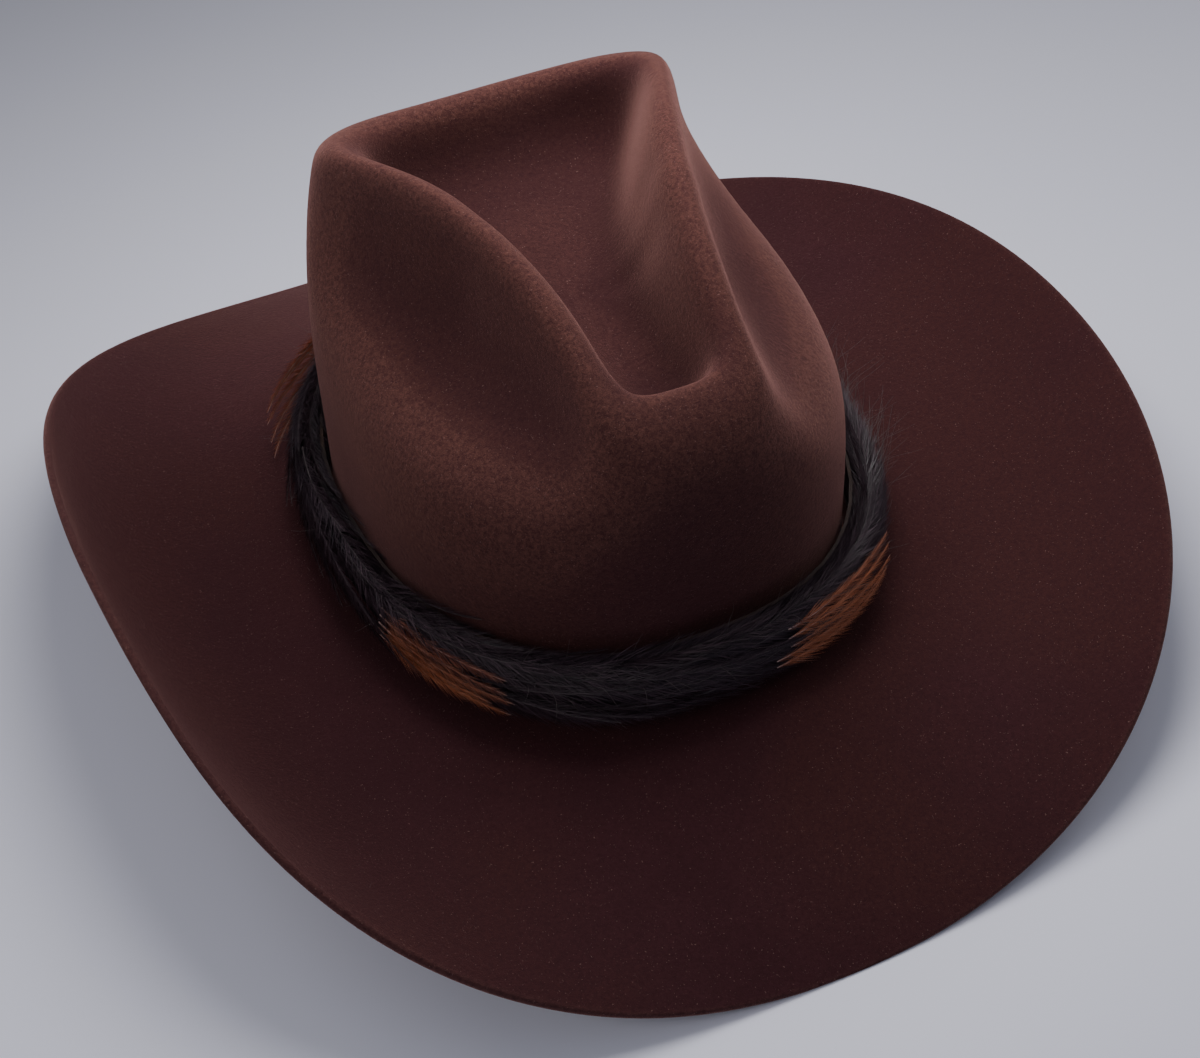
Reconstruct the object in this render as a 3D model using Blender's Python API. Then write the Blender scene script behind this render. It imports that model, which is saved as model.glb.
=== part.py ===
"""A felt western hat: pinch-front crown, curled brim, leather sweatband, satin lining and feather hatband.

Metres, +Z up. The hat stands on the front and back lows of its brim, the wearer faces -Y, and the
origin is under the middle of the hat on the surface that it stands on.
"""

import math

import bmesh
import bpy
import numpy as np

# The block: the oval that the felt is shaped on, measured on the outside of the felt at the brim break.
BLOCK_HALF_WIDTH = 0.0870
BLOCK_HALF_LENGTH = 0.1030
OVAL_POWER = 2.15
OVAL_SQUARING = 4.3
FELT = 0.0028
GAP = 0.0003

# With height the crown wall narrows, rounds in and squares off, and it leans backwards as a whole.
TAPER_WIDTH = 0.018
TAPER_LENGTH = -0.020
ROUNDING_WIDTH = 0.20
ROUNDING_LENGTH = 0.50
CROWN_LEAN = 0.022

# Heights above the brim break.
CREST_FRONT = 0.1085
CREST_BACK = 0.1325
CREST_BOW = 0.0260
BULGE_HEIGHT = 0.0920
BULGE_ROUND = 0.0420
DISH_FLOOR = 0.0950
DISH_SLOPE = 0.10

# The crest seen from above: a blunt front tip widening to two back corners.
PICK_FRONT = 0.0875
PICK_BACK = 0.0780
PICK_TIP_HALF = 0.0075
PICK_BACK_HALF = 0.0475
PICK_ROUND = 0.0160
CREST_PINCH = 0.0118
CREST_HALF_WALL = 0.0090
FLANK_FLARE = 0.13
DISH_FLARE = 0.25
DISH_INSET = 0.0171
DISH_WALL_FLARE = 0.15
BULGE_TILT = 0.06

# Blend radii between the hatmaker's tools.
TOP_BLEND = 0.012
WALL_BLEND = 0.020
DENT_BLEND = 0.040
DISH_BLEND = 0.025
CREST_BLEND = 0.016

# How much of each field's slope is left after it is scaled to read as a distance.
WALL_SCALE = 0.95
CREST_SCALE = 0.97
LEVEL_SCALE = 0.90

# The brim: its width, and the slope of its cross-section at the break and at the edge, in degrees.
BRIM_WIDTH = 0.1190
BRIM_TRIM = 0.0037
FRONT_SLOPES = (-17.5, -36.0)
BACK_SLOPES = (-13.2, -13.8)
LEFT_SLOPES = (-8.4, 92.5)
RIGHT_SLOPES = (-1.3, 33.7)
QUARTER_LIFT = 13.7
CURL_POWER = 1.87
SIDE_POWER = 2.4
BREAK_FILLET = 0.0070
REST_FLAT = 0.0020

# Sweatband and lining, all heights above the brim break.
SWEATBAND = 0.0012
SWEATBAND_OFFSET = 0.0039
SWEATBAND_TOP = 0.0460
SWEATBAND_BOTTOM = -0.0016
SWEATBAND_SLIT = 0.0012
REED_RADIUS = 0.0006
TAPE = 0.00035
TAPE_TOP = 0.0045
BOW_HEIGHT = 0.0090
LINING = 0.0006
LINING_GAP = 0.0022
LINING_BOTTOM = 0.0500
LINING_TOP = 0.0700
TIP_RISE = 0.0120
PIPING_RADIUS = 0.0011
SHIELD_HALF_WIDTH = 0.024
SHIELD_HALF_LENGTH = 0.034
SHIELD = 0.0003

# The hatband. Angles are measured round the crown from the front towards +X. Its plan takes in the crown's
# widest, longest and squarest sections, so that it lifts off along the crown's lean without rubbing.
BAND_HALF_WIDTH = 0.0870
BAND_HALF_LENGTH = 0.1032
BAND_POWER = 2.36
BACKING = 0.0012
BACKING_OFFSET = 0.0004
BACKING_BOTTOM = 0.0080
BACKING_TOP = 0.0250
TIE_HEIGHT = 0.0165
BUNDLE_COUNT = 12
BUNDLE_HALF_THICKNESS = 0.0043
BUNDLE_HALF_HEIGHT = 0.0115
BUNDLE_OFFSET = 0.0066
BUNDLE_HEIGHT = 0.0150
CLOSURE_HALF_ANGLE = math.radians(8.0)
ACCENT_ANGLES = {"front_left": -58.0, "front_right": 25.0, "rear_left": -138.0, "rear_right": 124.0}
ACCENT_HALF_LENGTH = 0.0260
ACCENT_HALF_HEIGHT = 0.0070
ACCENT = 0.0010
THONG_RADIUS = 0.0012
KNOT_RADIUS = 0.0042
TAIL_LENGTH = 0.022

# Mesh density.
AROUND = 44
BRIM_ROWS = 8
CROWN_ROWS = 12
DISH_ROWS = 9
TRACE_STEP = 0.0008
LONGEST_SECTION = 0.42
BRIM_PIECES = 24
RISE_CROWDING = 1.35
FALL_CROWDING = 1.25
FLAT_SHARE = 0.12


def smooth_max(first, second, radius):
    """The larger of two fields, with the corner between them rounded."""
    near = np.maximum(radius - np.abs(first - second), 0.0) / radius
    return np.maximum(first, second) + near**3 * radius / 6.0


def smooth_min(first, second, radius):
    return -smooth_max(-first, -second, radius)


def power(value, exponent):
    return np.sign(value) * np.abs(value) ** exponent


def oval_power(height):
    """The oval's exponent, which grows with height: the crown squares off towards its corners."""
    return OVAL_POWER + OVAL_SQUARING * height


def oval(angle, half_width, half_length, exponent=OVAL_POWER):
    """Points and outward normals of the hat's oval, in plan."""
    x = half_width * power(np.sin(angle), 2.0 / exponent)
    y = -half_length * power(np.cos(angle), 2.0 / exponent)
    slope_x = power(x / half_width, exponent - 1.0) / half_width
    slope_y = power(y / half_length, exponent - 1.0) / half_length
    size = np.hypot(slope_x, slope_y)
    return x, y, slope_x / size, slope_y / size


def block_size(height):
    """Half width and half length of the crown's wall at a height above the brim break."""
    width = BLOCK_HALF_WIDTH - TAPER_WIDTH * height - ROUNDING_WIDTH * height**2
    length = BLOCK_HALF_LENGTH - TAPER_LENGTH * height - ROUNDING_LENGTH * height**2
    return width, length


def wall_point(angle, height, offset):
    """A point on the lower crown wall, moved outwards in plan by an offset."""
    level = max(height, 0.0)
    width, length = block_size(level)
    x, y, normal_x, normal_y = oval(angle, width, length, oval_power(level))
    return np.stack(
        [x + normal_x * offset, y + normal_y * offset + CROWN_LEAN * level, np.full_like(x, height)],
        axis=-1,
    )


def segment_distance(x, y, start, end):
    run_x, run_y = end[0] - start[0], end[1] - start[1]
    along = ((x - start[0]) * run_x + (y - start[1]) * run_y) / (run_x**2 + run_y**2)
    along = np.clip(along, 0.0, 1.0)
    return np.hypot(x - start[0] - along * run_x, y - start[1] - along * run_y)


def crest_share(y):
    """Place along the crest, from 0 at its front tip to 1 at its back."""
    return (y + PICK_FRONT) / (PICK_FRONT + PICK_BACK)


def pick_distance(x, y):
    """Signed distance in plan to the crest's outline, before its corners are rounded."""
    along = np.clip(crest_share(y), 0.0, 1.0)
    x = np.abs(x) + CREST_PINCH * 4.0 * along * (1.0 - along)
    front = -(PICK_FRONT - PICK_ROUND)
    back = PICK_BACK - PICK_ROUND
    tip = (PICK_TIP_HALF, front)
    corner = (PICK_BACK_HALF, back)
    away = np.minimum(
        np.minimum(segment_distance(x, y, (0.0, front), tip), segment_distance(x, y, tip, corner)),
        segment_distance(x, y, corner, (0.0, back)),
    )
    side = (x - tip[0]) * (corner[1] - tip[1]) - (y - tip[1]) * (corner[0] - tip[0])
    inside = (side < 0.0) & (y > front) & (y < back)
    return np.where(inside, -away, away) - PICK_ROUND


def crown_field(x, y, z):
    """Negative inside the crown as if it were solid: a bulging block joined to a pick, less the dish."""
    width, length = block_size(z)
    width, length = np.maximum(width, 0.005), np.maximum(length, 0.005)
    exponent = oval_power(np.maximum(z, 0.0))
    ratio = (np.abs(x) / width) ** exponent + (np.abs(y - CROWN_LEAN * z) / length) ** exponent
    wall = ((ratio + 1e-12) ** (1.0 / exponent) - 1.0) * np.sqrt(width * length) * WALL_SCALE
    along = np.clip(crest_share(y), -0.3, 1.3)
    crest = CREST_FRONT + (CREST_BACK - CREST_FRONT) * along + CREST_BOW * 4.0 * along * (1.0 - along)
    below = np.maximum(crest - z, 0.0)
    bulge = smooth_max(wall, (z - BULGE_HEIGHT - BULGE_TILT * y) * LEVEL_SCALE, BULGE_ROUND)
    plan = pick_distance(x, y)
    pick = smooth_max(plan - CREST_HALF_WALL - FLANK_FLARE * below, (z - crest) * CREST_SCALE, TOP_BLEND)
    pick = smooth_max(pick, wall, WALL_BLEND)
    body = np.maximum(smooth_min(pick, bulge, DENT_BLEND), wall)
    floor = DISH_FLOOR + DISH_SLOPE * y
    dish = smooth_max(plan + DISH_FLARE * below, wall + DISH_INSET + DISH_WALL_FLARE * below, PICK_ROUND)
    dish = smooth_max(dish, (floor - z) * LEVEL_SCALE, DISH_BLEND)
    return smooth_max(body, -dish, CREST_BLEND)


def crown_profiles(angles, step=TRACE_STEP):
    """For each angle, the crown's section from the wall's foot, over the crest, to the dish's middle."""
    start = wall_point(angles, BREAK_FILLET, 0.0)
    reach = np.hypot(start[:, 0], start[:, 1])
    heading = np.arctan2(start[:, 0], -start[:, 1])
    sine, cosine = np.sin(heading), np.cos(heading)

    def field(radius, height):
        return crown_field(radius * sine, -radius * cosine, height)

    radius, height = reach.copy(), np.full_like(reach, BREAK_FILLET)
    path = [np.stack([radius, height], axis=-1)]
    tiny = 1e-5
    for _ in range(int(LONGEST_SECTION / step)):
        slope_r = (field(radius + tiny, height) - field(radius - tiny, height)) / (2 * tiny)
        slope_z = (field(radius, height + tiny) - field(radius, height - tiny)) / (2 * tiny)
        size = np.hypot(slope_r, slope_z) + 1e-9
        moving = radius > step * 1.5
        radius = np.where(moving, radius - slope_z / size * step, radius)
        height = np.where(moving, height + slope_r / size * step, height)
        error = field(radius, height)
        radius = np.where(moving, radius - slope_r / size**2 * error, radius)
        height = np.where(moving, height - slope_z / size**2 * error, height)
        path.append(np.stack([radius, height], axis=-1))
        if not moving.any():
            break
    middle = np.array([0.0, float(height.mean())])
    path.append(np.tile(middle, (len(angles), 1)))
    return np.stack(path, axis=1), heading


def resample(line, shares):
    """Points at the given shares of a line's length."""
    steps = np.linalg.norm(np.diff(line, axis=0), axis=1)
    length = np.concatenate([[0.0], np.cumsum(steps)])
    places = np.asarray(shares) * length[-1]
    return np.stack([np.interp(places, length, line[:, i]) for i in range(line.shape[1])], axis=-1)


def brim_section(angle, shares):
    """Reach and height of the brim's upper face at each share of its width, from the break outwards."""
    side = np.abs(np.sin(angle)) ** SIDE_POWER
    front, back = (1.0 - side) * (np.cos(angle) > 0.0), (1.0 - side) * (np.cos(angle) <= 0.0)
    right, left = side * (np.sin(angle) > 0.0), side * (np.sin(angle) <= 0.0)
    inner, outer = (
        front * FRONT_SLOPES[i] + back * BACK_SLOPES[i] + left * LEFT_SLOPES[i] + right * RIGHT_SLOPES[i]
        for i in (0, 1)
    )
    outer = outer + QUARTER_LIFT * np.sin(2.0 * angle) ** 2
    width = BRIM_WIDTH - BRIM_TRIM * (front + back)
    middles = (np.arange(BRIM_PIECES) + 0.5) / BRIM_PIECES
    reach, rise = [], []
    for share in shares:
        curl = (middles[None, :] * share) ** CURL_POWER
        slope = np.radians(inner[:, None] + (outer - inner)[:, None] * curl)
        reach.append(width * share * np.cos(slope).mean(axis=1))
        rise.append(width * share * np.sin(slope).mean(axis=1))
    return np.array(reach), np.array(rise)


def level_lows(angles, shares):
    """The small change of height that brings the brim's front and back edges to one level."""
    front, back = brim_section(np.array([0.0, math.pi]), [1.0])[1][0]
    level = (front + back) / 2.0
    ease = 1.0 - np.abs(np.sin(angles)) ** SIDE_POWER
    change = np.where(np.cos(angles) > 0.0, level - front, level - back) * ease
    return np.asarray(shares)[:, None] ** 2 * change[None, :]


def felt_grid(angles, brim_rows, crown_rows, dish_rows, fillet_rows=2, step=TRACE_STEP):
    """The hat's outer face as rows of points: brim edge, brim, fillet, crown wall, crest, dish.

    Heights are measured from the brim's break.
    """
    foot = BREAK_FILLET / BRIM_WIDTH
    shares = 1.0 - (1.0 - foot) * np.linspace(0.0, 1.0, brim_rows + 1)
    reach, rise = brim_section(angles, shares)
    rise += level_lows(angles, shares)
    x, y, normal_x, normal_y = oval(angles, BLOCK_HALF_WIDTH, BLOCK_HALF_LENGTH)
    rows = [
        np.stack([x + normal_x * out, y + normal_y * out, up], axis=-1)
        for out, up in zip(reach, rise, strict=True)
    ]
    corner = np.stack([x, y, np.zeros_like(x)], axis=-1)
    wall = wall_point(angles, BREAK_FILLET, 0.0)
    for share in np.arange(1, fillet_rows + 1) / (fillet_rows + 1):
        rows.append((1 - share) ** 2 * rows[brim_rows] + 2 * share * (1 - share) * corner + share**2 * wall)
    paths, heading = crown_profiles(angles, step)
    rise_shares = 1.0 - (1.0 - np.linspace(0.0, 1.0, crown_rows + 1)) ** RISE_CROWDING
    fall_shares = np.linspace(0.0, 1.0, dish_rows + 1)[1:] ** FALL_CROWDING
    sections = []
    for path in paths:
        top = int(path[:, 1].argmax())
        rising = resample(path[: top + 1], rise_shares)
        falling = resample(path[top:], fall_shares)
        sections.append(np.concatenate([rising, falling]))
    sections = np.array(sections)
    for i in range(sections.shape[1]):
        radius, height = sections[:, i, 0], sections[:, i, 1]
        rows.append(np.stack([radius * np.sin(heading), -radius * np.cos(heading), height], axis=-1))
    return np.array(rows)


def grid_normals(grid):
    """Outward normals of a felt grid, whose last row is one point."""
    along = np.gradient(grid, axis=0)
    around = np.roll(grid, -1, axis=1) - np.roll(grid, 1, axis=1)
    normals = np.cross(around, along)
    normals[-1] = (0.0, 0.0, 1.0)
    return normals / np.linalg.norm(normals, axis=-1, keepdims=True)


def stand_height(grid, inner):
    """Height of the brim break above the surface that the hat stands on."""
    return -float(min(grid[..., 2].min(), inner[..., 2].min())) - REST_FLAT


def make_material(name, colour, roughness, metallic=0.0):
    material = bpy.data.materials.new(name)
    material.use_nodes = True
    shader = material.node_tree.nodes["Principled BSDF"]
    shader.inputs["Base Color"].default_value = (*colour, 1.0)
    shader.inputs["Roughness"].default_value = roughness
    shader.inputs["Metallic"].default_value = metallic
    material.diffuse_color = (*colour, 1.0)
    return material


def add_object(name, points, faces, material, parent=None):
    mesh = bpy.data.meshes.new(name)
    mesh.from_pydata([tuple(point) for point in points], [], faces)
    work = bmesh.new()
    work.from_mesh(mesh)
    bmesh.ops.recalc_face_normals(work, faces=work.faces)
    if work.calc_volume(signed=True) < 0.0:
        bmesh.ops.reverse_faces(work, faces=work.faces)
    work.to_mesh(mesh)
    work.free()
    mesh.shade_smooth()
    mesh.set_sharp_from_angle(angle=math.radians(50.0))
    mesh.materials.append(material)
    piece = bpy.data.objects.new(name, mesh)
    piece.parent = parent
    bpy.context.scene.collection.objects.link(piece)
    return piece


def tube_solid(sections, closed):
    """Points and faces of a solid swept through equal rings of points, closed on itself or capped."""
    count, sides = len(sections), len(sections[0])
    points = [point for ring in sections for point in ring]
    faces = []
    for i in range(count if closed else count - 1):
        for j in range(sides):
            following = (i + 1) % count
            turn = (j + 1) % sides
            faces.append((i * sides + j, i * sides + turn, following * sides + turn, following * sides + j))
    if not closed:
        faces.append(tuple(range(sides)))
        faces.append(tuple(range((count - 1) * sides, count * sides)))
    return points, faces


def plate_solid(upper, lower):
    """Points and faces of a thin plate between two grids of the same size."""
    rows, columns = len(upper), len(upper[0])
    points = [point for grid in (upper, lower) for row in grid for point in row]
    faces = []

    def at(level, i, j):
        return level * rows * columns + i * columns + j

    for i in range(rows - 1):
        for j in range(columns - 1):
            for level in (0, 1):
                near = (at(level, i, j), at(level, i + 1, j))
                far = (at(level, i + 1, j + 1), at(level, i, j + 1))
                faces.append(near + far)
    border = [(i, 0) for i in range(rows - 1)] + [(rows - 1, j) for j in range(columns - 1)]
    border += [(i, columns - 1) for i in range(rows - 1, 0, -1)] + [(0, j) for j in range(columns - 1, 0, -1)]
    for (i, j), (k, l) in zip(border, border[1:] + border[:1], strict=True):
        faces.append((at(0, i, j), at(0, k, l), at(1, k, l), at(1, i, j)))
    return points, faces


def dome_solid(upper, lower):
    """Points and faces of a shell between two grids of rings, whose last rings are single points."""
    rows, columns = upper.shape[:2]
    points, faces = [], []
    for grid in (upper, lower):
        points += list(grid[:-1].reshape(-1, 3)) + [grid[-1, 0]]
    level_size = (rows - 1) * columns + 1
    for level in (0, 1):
        base = level * level_size
        for i in range(rows - 2):
            for j in range(columns):
                turn = (j + 1) % columns
                faces.append((base + i * columns + j, base + i * columns + turn,
                              base + (i + 1) * columns + turn, base + (i + 1) * columns + j))
        last = base + (rows - 2) * columns
        faces += [(last + j, last + (j + 1) % columns, base + level_size - 1) for j in range(columns)]
    for j in range(columns):
        turn = (j + 1) % columns
        faces.append((j, turn, level_size + turn, level_size + j))
    return points, faces


def raised(lift):
    return np.array([0.0, 0.0, lift])


def band_point(angle, offset, height):
    """A single point round the crown's foot."""
    return wall_point(np.array([angle]), height, offset)[0]


def ring_point(angle, offset, height):
    """A point on the hatband, an offset out from its inner face."""
    x, y, normal_x, normal_y = oval(np.array([angle]), BAND_HALF_WIDTH, BAND_HALF_LENGTH, BAND_POWER)
    lean = CROWN_LEAN * height
    return np.array([x[0] + normal_x[0] * offset, y[0] + normal_y[0] * offset + lean, height])


def ring_angles(count, start=-math.pi, end=math.pi, ends=False):
    return np.linspace(start, end, count, endpoint=ends)


def make_felt(lift):
    angles = ring_angles(AROUND) + math.pi
    grid = felt_grid(angles, BRIM_ROWS, CROWN_ROWS, DISH_ROWS)
    inner = grid - grid_normals(grid) * FELT
    shift = raised(lift)
    outer, inner = grid + shift, inner + shift
    outer[..., 2] = np.maximum(outer[..., 2], 0.0)
    # A second ring just inside the lower edge gives the felt a real flat where it stands.
    flat = inner[0] + (inner[1] - inner[0]) * FLAT_SHARE
    inner = np.concatenate([inner[:1], flat[None], inner[1:]])
    outer_flat = outer[0] + (outer[1] - outer[0]) * FLAT_SHARE
    outer = np.concatenate([outer[:1], outer_flat[None], outer[1:]])
    inner[:2, :, 2] = np.maximum(inner[:2, :, 2], 0.0)
    points, faces = dome_solid(outer, inner)
    return add_object("felt_body", points, faces, make_material("felt", (0.075, 0.035, 0.028), 0.95))


def sweatband_section(angle, lift):
    inside, outside = -SWEATBAND_OFFSET - SWEATBAND, -SWEATBAND_OFFSET
    heights = np.linspace(SWEATBAND_BOTTOM, SWEATBAND_TOP, 4)
    section = [band_point(angle, outside, height) for height in heights]
    section += [band_point(angle, inside, height) for height in heights[::-1]]
    return [point + raised(lift) for point in section]


def round_section(place, angle, lift, offset, height, radius, sides=6):
    """A ring of points about a place on the crown wall or on the band."""
    section = []
    for turn in np.linspace(0.0, 2.0 * math.pi, sides, endpoint=False):
        point = place(angle, offset + radius * math.cos(turn), height)
        section.append(point + np.array([0.0, 0.0, lift + radius * math.sin(turn)]))
    return section


def make_sweatband(lift):
    leather = make_material("sweatband_leather", (0.20, 0.10, 0.055), 0.55)
    slit = SWEATBAND_SLIT / 2.0 / BLOCK_HALF_LENGTH
    angles = ring_angles(41, -math.pi + slit, math.pi - slit, ends=True)
    points, faces = tube_solid([sweatband_section(angle, lift) for angle in angles], closed=False)
    add_object("sweatband", points, faces, leather)

    middle = -SWEATBAND_OFFSET - SWEATBAND / 2.0
    reed_height = SWEATBAND_BOTTOM - GAP - REED_RADIUS - 0.0001
    angles = ring_angles(40)
    reed = [round_section(band_point, angle, lift, middle, reed_height, REED_RADIUS) for angle in angles]
    points, faces = tube_solid(reed, closed=True)
    add_object("sweatband_reed", points, faces, make_material("reed_plastic", (0.55, 0.52, 0.46), 0.4))

    half = SWEATBAND / 2.0 + GAP
    floor = reed_height - REED_RADIUS - GAP
    outline = [
        (middle + half + TAPE, TAPE_TOP), (middle + half, TAPE_TOP), (middle + half, floor),
        (middle - half, floor), (middle - half, TAPE_TOP), (middle - half - TAPE, TAPE_TOP),
        (middle - half - TAPE, floor - TAPE), (middle + half + TAPE, floor - TAPE),
    ]
    tape = []
    for angle in angles:
        tape.append([band_point(angle, offset, height) + raised(lift) for offset, height in outline])
    points, faces = tube_solid(tape, closed=True)
    add_object("sweatband_reed_tape", points, faces, make_material("reed_tape", (0.10, 0.06, 0.045), 0.8))

    # A strip of tape backs the joint where the sweatband's two ends meet, between the leather and the felt.
    spread = 0.007 / BLOCK_HALF_LENGTH
    upper, lower = [], []
    for angle in np.linspace(math.pi - spread, math.pi + spread, 5):
        heights = np.linspace(TAPE_TOP + 0.001, SWEATBAND_TOP - 0.002, 3)
        upper.append([band_point(angle, -FELT - GAP, height) + raised(lift) for height in heights])
        lower.append([band_point(angle, -FELT - 2 * GAP, height) + raised(lift) for height in heights])
    points, faces = plate_solid(upper, lower)
    add_object("sweatband_seam_tape", points, faces, make_material("seam_tape", (0.12, 0.07, 0.05), 0.8))
    make_bow(lift)


def make_bow(lift):
    """The small flat bow that covers the sweatband's seam at the back of the head."""
    stations = ((-0.0085, 0.0036), (-0.0055, 0.0042), (-0.0022, 0.0016), (0.0, 0.0022),
                (0.0022, 0.0016), (0.0055, 0.0042), (0.0085, 0.0036))
    inside = -SWEATBAND_OFFSET - SWEATBAND - 3.0 * GAP
    height = BOW_HEIGHT
    upper, lower = [], []
    for along, half in stations:
        angle = math.pi + along / BLOCK_HALF_LENGTH
        rows = [height - half, height, height + half]
        puff = 0.0009 + 0.0005 * (abs(along) < 0.001)
        upper.append([band_point(angle, inside, row) + raised(lift) for row in rows])
        lower.append([band_point(angle, inside - puff, row) + raised(lift) for row in rows])
    points, faces = plate_solid(upper, lower)
    add_object("sweatband_bow", points, faces, make_material("bow_satin", (0.16, 0.09, 0.06), 0.4))


def lining_rings(lift, heights, depth, columns):
    """Rings that follow the inside of the crown at the given heights, a depth below the felt's outer face."""
    angles = ring_angles(columns) + math.pi
    paths, heading = crown_profiles(angles)
    rings = []
    for height in heights:
        radius = []
        for path in paths:
            top = int(path[:, 1].argmax())
            radius.append(np.interp(height, path[:top, 1], path[:top, 0]))
        radius = np.array(radius) - depth
        level = np.full_like(radius, height + lift)
        rings.append(np.stack([radius * np.sin(heading), -radius * np.cos(heading), level], axis=-1))
    return np.array(rings)


def make_lining(lift):
    satin = make_material("lining_satin", (0.22, 0.12, 0.07), 0.35)
    columns = 36
    depth = FELT + LINING_GAP
    heights = np.linspace(LINING_BOTTOM, LINING_TOP, 4)
    outside = lining_rings(lift, heights, depth, columns)
    inside = lining_rings(lift, heights, depth + LINING, columns)
    sections = [list(outside[:, j]) + list(inside[::-1, j]) for j in range(columns)]
    points, faces = tube_solid(sections, closed=True)
    add_object("lining_side", points, faces, satin)

    cord_drop = LINING_TOP + GAP + PIPING_RADIUS
    rim = lining_rings(lift, [LINING_TOP], depth + PIPING_RADIUS, columns)[0]
    sections = []
    for j in range(columns):
        outward = np.array([rim[j, 0], rim[j, 1], 0.0]) / math.hypot(rim[j, 0], rim[j, 1])
        ring = []
        for turn in np.linspace(0.0, 2.0 * math.pi, 6, endpoint=False):
            sway = outward * math.cos(turn) * PIPING_RADIUS
            level = lift + cord_drop + math.sin(turn) * PIPING_RADIUS
            ring.append(np.array([rim[j, 0], rim[j, 1], level]) + sway)
        sections.append(ring)
    points, faces = tube_solid(sections, closed=True)
    add_object("lining_piping", points, faces, make_material("piping_satin", (0.14, 0.08, 0.05), 0.4))

    edge = lining_rings(lift, [LINING_TOP], depth + 2 * PIPING_RADIUS + 2 * GAP, columns)[0]
    add_object("lining_tip", *dome_solid(*tip_grids(edge, lift, cord_drop)), satin)
    make_shield(edge, lift, cord_drop)


def tip_height(share, cord_drop):
    """Height of the lining tip's upper face: flat at its rim, rising to its middle."""
    return cord_drop + TIP_RISE * (1.0 - share**2)


def tip_grids(edge, lift, cord_drop):
    upper, lower = [], []
    for share in (1.0, 0.85, 0.65, 0.4, 0.2, 0.0):
        ring = edge * share
        ring[:, 2] = lift + tip_height(share, cord_drop)
        upper.append(ring)
        lower.append(ring - np.array([0.0, 0.0, LINING]))
    return np.array(upper), np.array(lower)


def make_shield(edge, lift, cord_drop):
    """A clear sheet sewn under the lining's tip."""
    half_width, half_length = np.abs(edge[:, 0]).max(), np.abs(edge[:, 1]).max()
    upper, lower = [], []
    for y in np.linspace(-SHIELD_HALF_LENGTH, SHIELD_HALF_LENGTH, 7):
        upper.append([])
        lower.append([])
        for x in np.linspace(-SHIELD_HALF_WIDTH, SHIELD_HALF_WIDTH, 5):
            share = math.hypot(x / half_width, y / half_length)
            height = lift + tip_height(share, cord_drop) - LINING - 3 * GAP
            upper[-1].append((x, y, height))
            lower[-1].append((x, y, height - SHIELD))
    points, faces = plate_solid(upper, lower)
    add_object("lining_shield", points, faces, make_material("clear_vinyl", (0.8, 0.8, 0.78), 0.15))


def make_backing(lift, parent):
    leather = make_material("band_leather", (0.055, 0.032, 0.028), 0.7)
    end = math.pi - CLOSURE_HALF_ANGLE
    sections = []
    for angle in ring_angles(49, -end, end, ends=True):
        outline = [
            (BACKING_OFFSET, BACKING_BOTTOM), (BACKING_OFFSET + BACKING, BACKING_BOTTOM),
            (BACKING_OFFSET + BACKING, BACKING_TOP), (BACKING_OFFSET, BACKING_TOP),
        ]
        sections.append([ring_point(angle, offset, height) + raised(lift) for offset, height in outline])
    points, faces = tube_solid(sections, closed=False)
    add_object("hatband_backing", points, faces, leather, parent)
    for name, side in (("left", -1.0), ("right", 1.0)):
        make_end_wrap(name, side, lift, leather, parent)
        make_thong(name, side, lift, leather, parent)
    make_knot(lift, leather, parent)


def make_end_wrap(name, side, lift, leather, parent):
    """The leather cap that closes one end of the band, narrowing towards the tie."""
    start = CLOSURE_HALF_ANGLE - GAP / BLOCK_HALF_LENGTH
    sections = []
    for share in (0.0, 0.5, 1.0):
        angle = math.pi - side * (start * (1.0 - share) + math.radians(4.4) * share)
        middle, half = TIE_HEIGHT, 0.0085 - 0.0045 * share
        thick = BACKING + 0.0024 * (0.6 + 0.4 * share)
        outline = [(BACKING_OFFSET, middle - half), (BACKING_OFFSET + thick, middle - half * 0.8),
                   (BACKING_OFFSET + thick, middle + half * 0.8), (BACKING_OFFSET, middle + half)]
        sections.append([ring_point(angle, offset, height) + raised(lift) for offset, height in outline])
    points, faces = tube_solid(sections, closed=False)
    add_object("band_end_wrap_" + name, points, faces, leather, parent)


def make_thong(name, side, lift, leather, parent):
    """A short run of thong from one end cap to the knot."""
    sections = []
    for share in np.linspace(0.0, 1.0, 4):
        angle = math.pi - side * math.radians(4.2 * (1.0 - share) + 2.75 * share)
        offset = BACKING_OFFSET + 0.0022 + 0.0018 * share
        sections.append(round_section(ring_point, angle, lift, offset, TIE_HEIGHT, THONG_RADIUS, sides=8))
    points, faces = tube_solid(sections, closed=False)
    add_object("tie_thong_" + name, points, faces, leather, parent)


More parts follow.
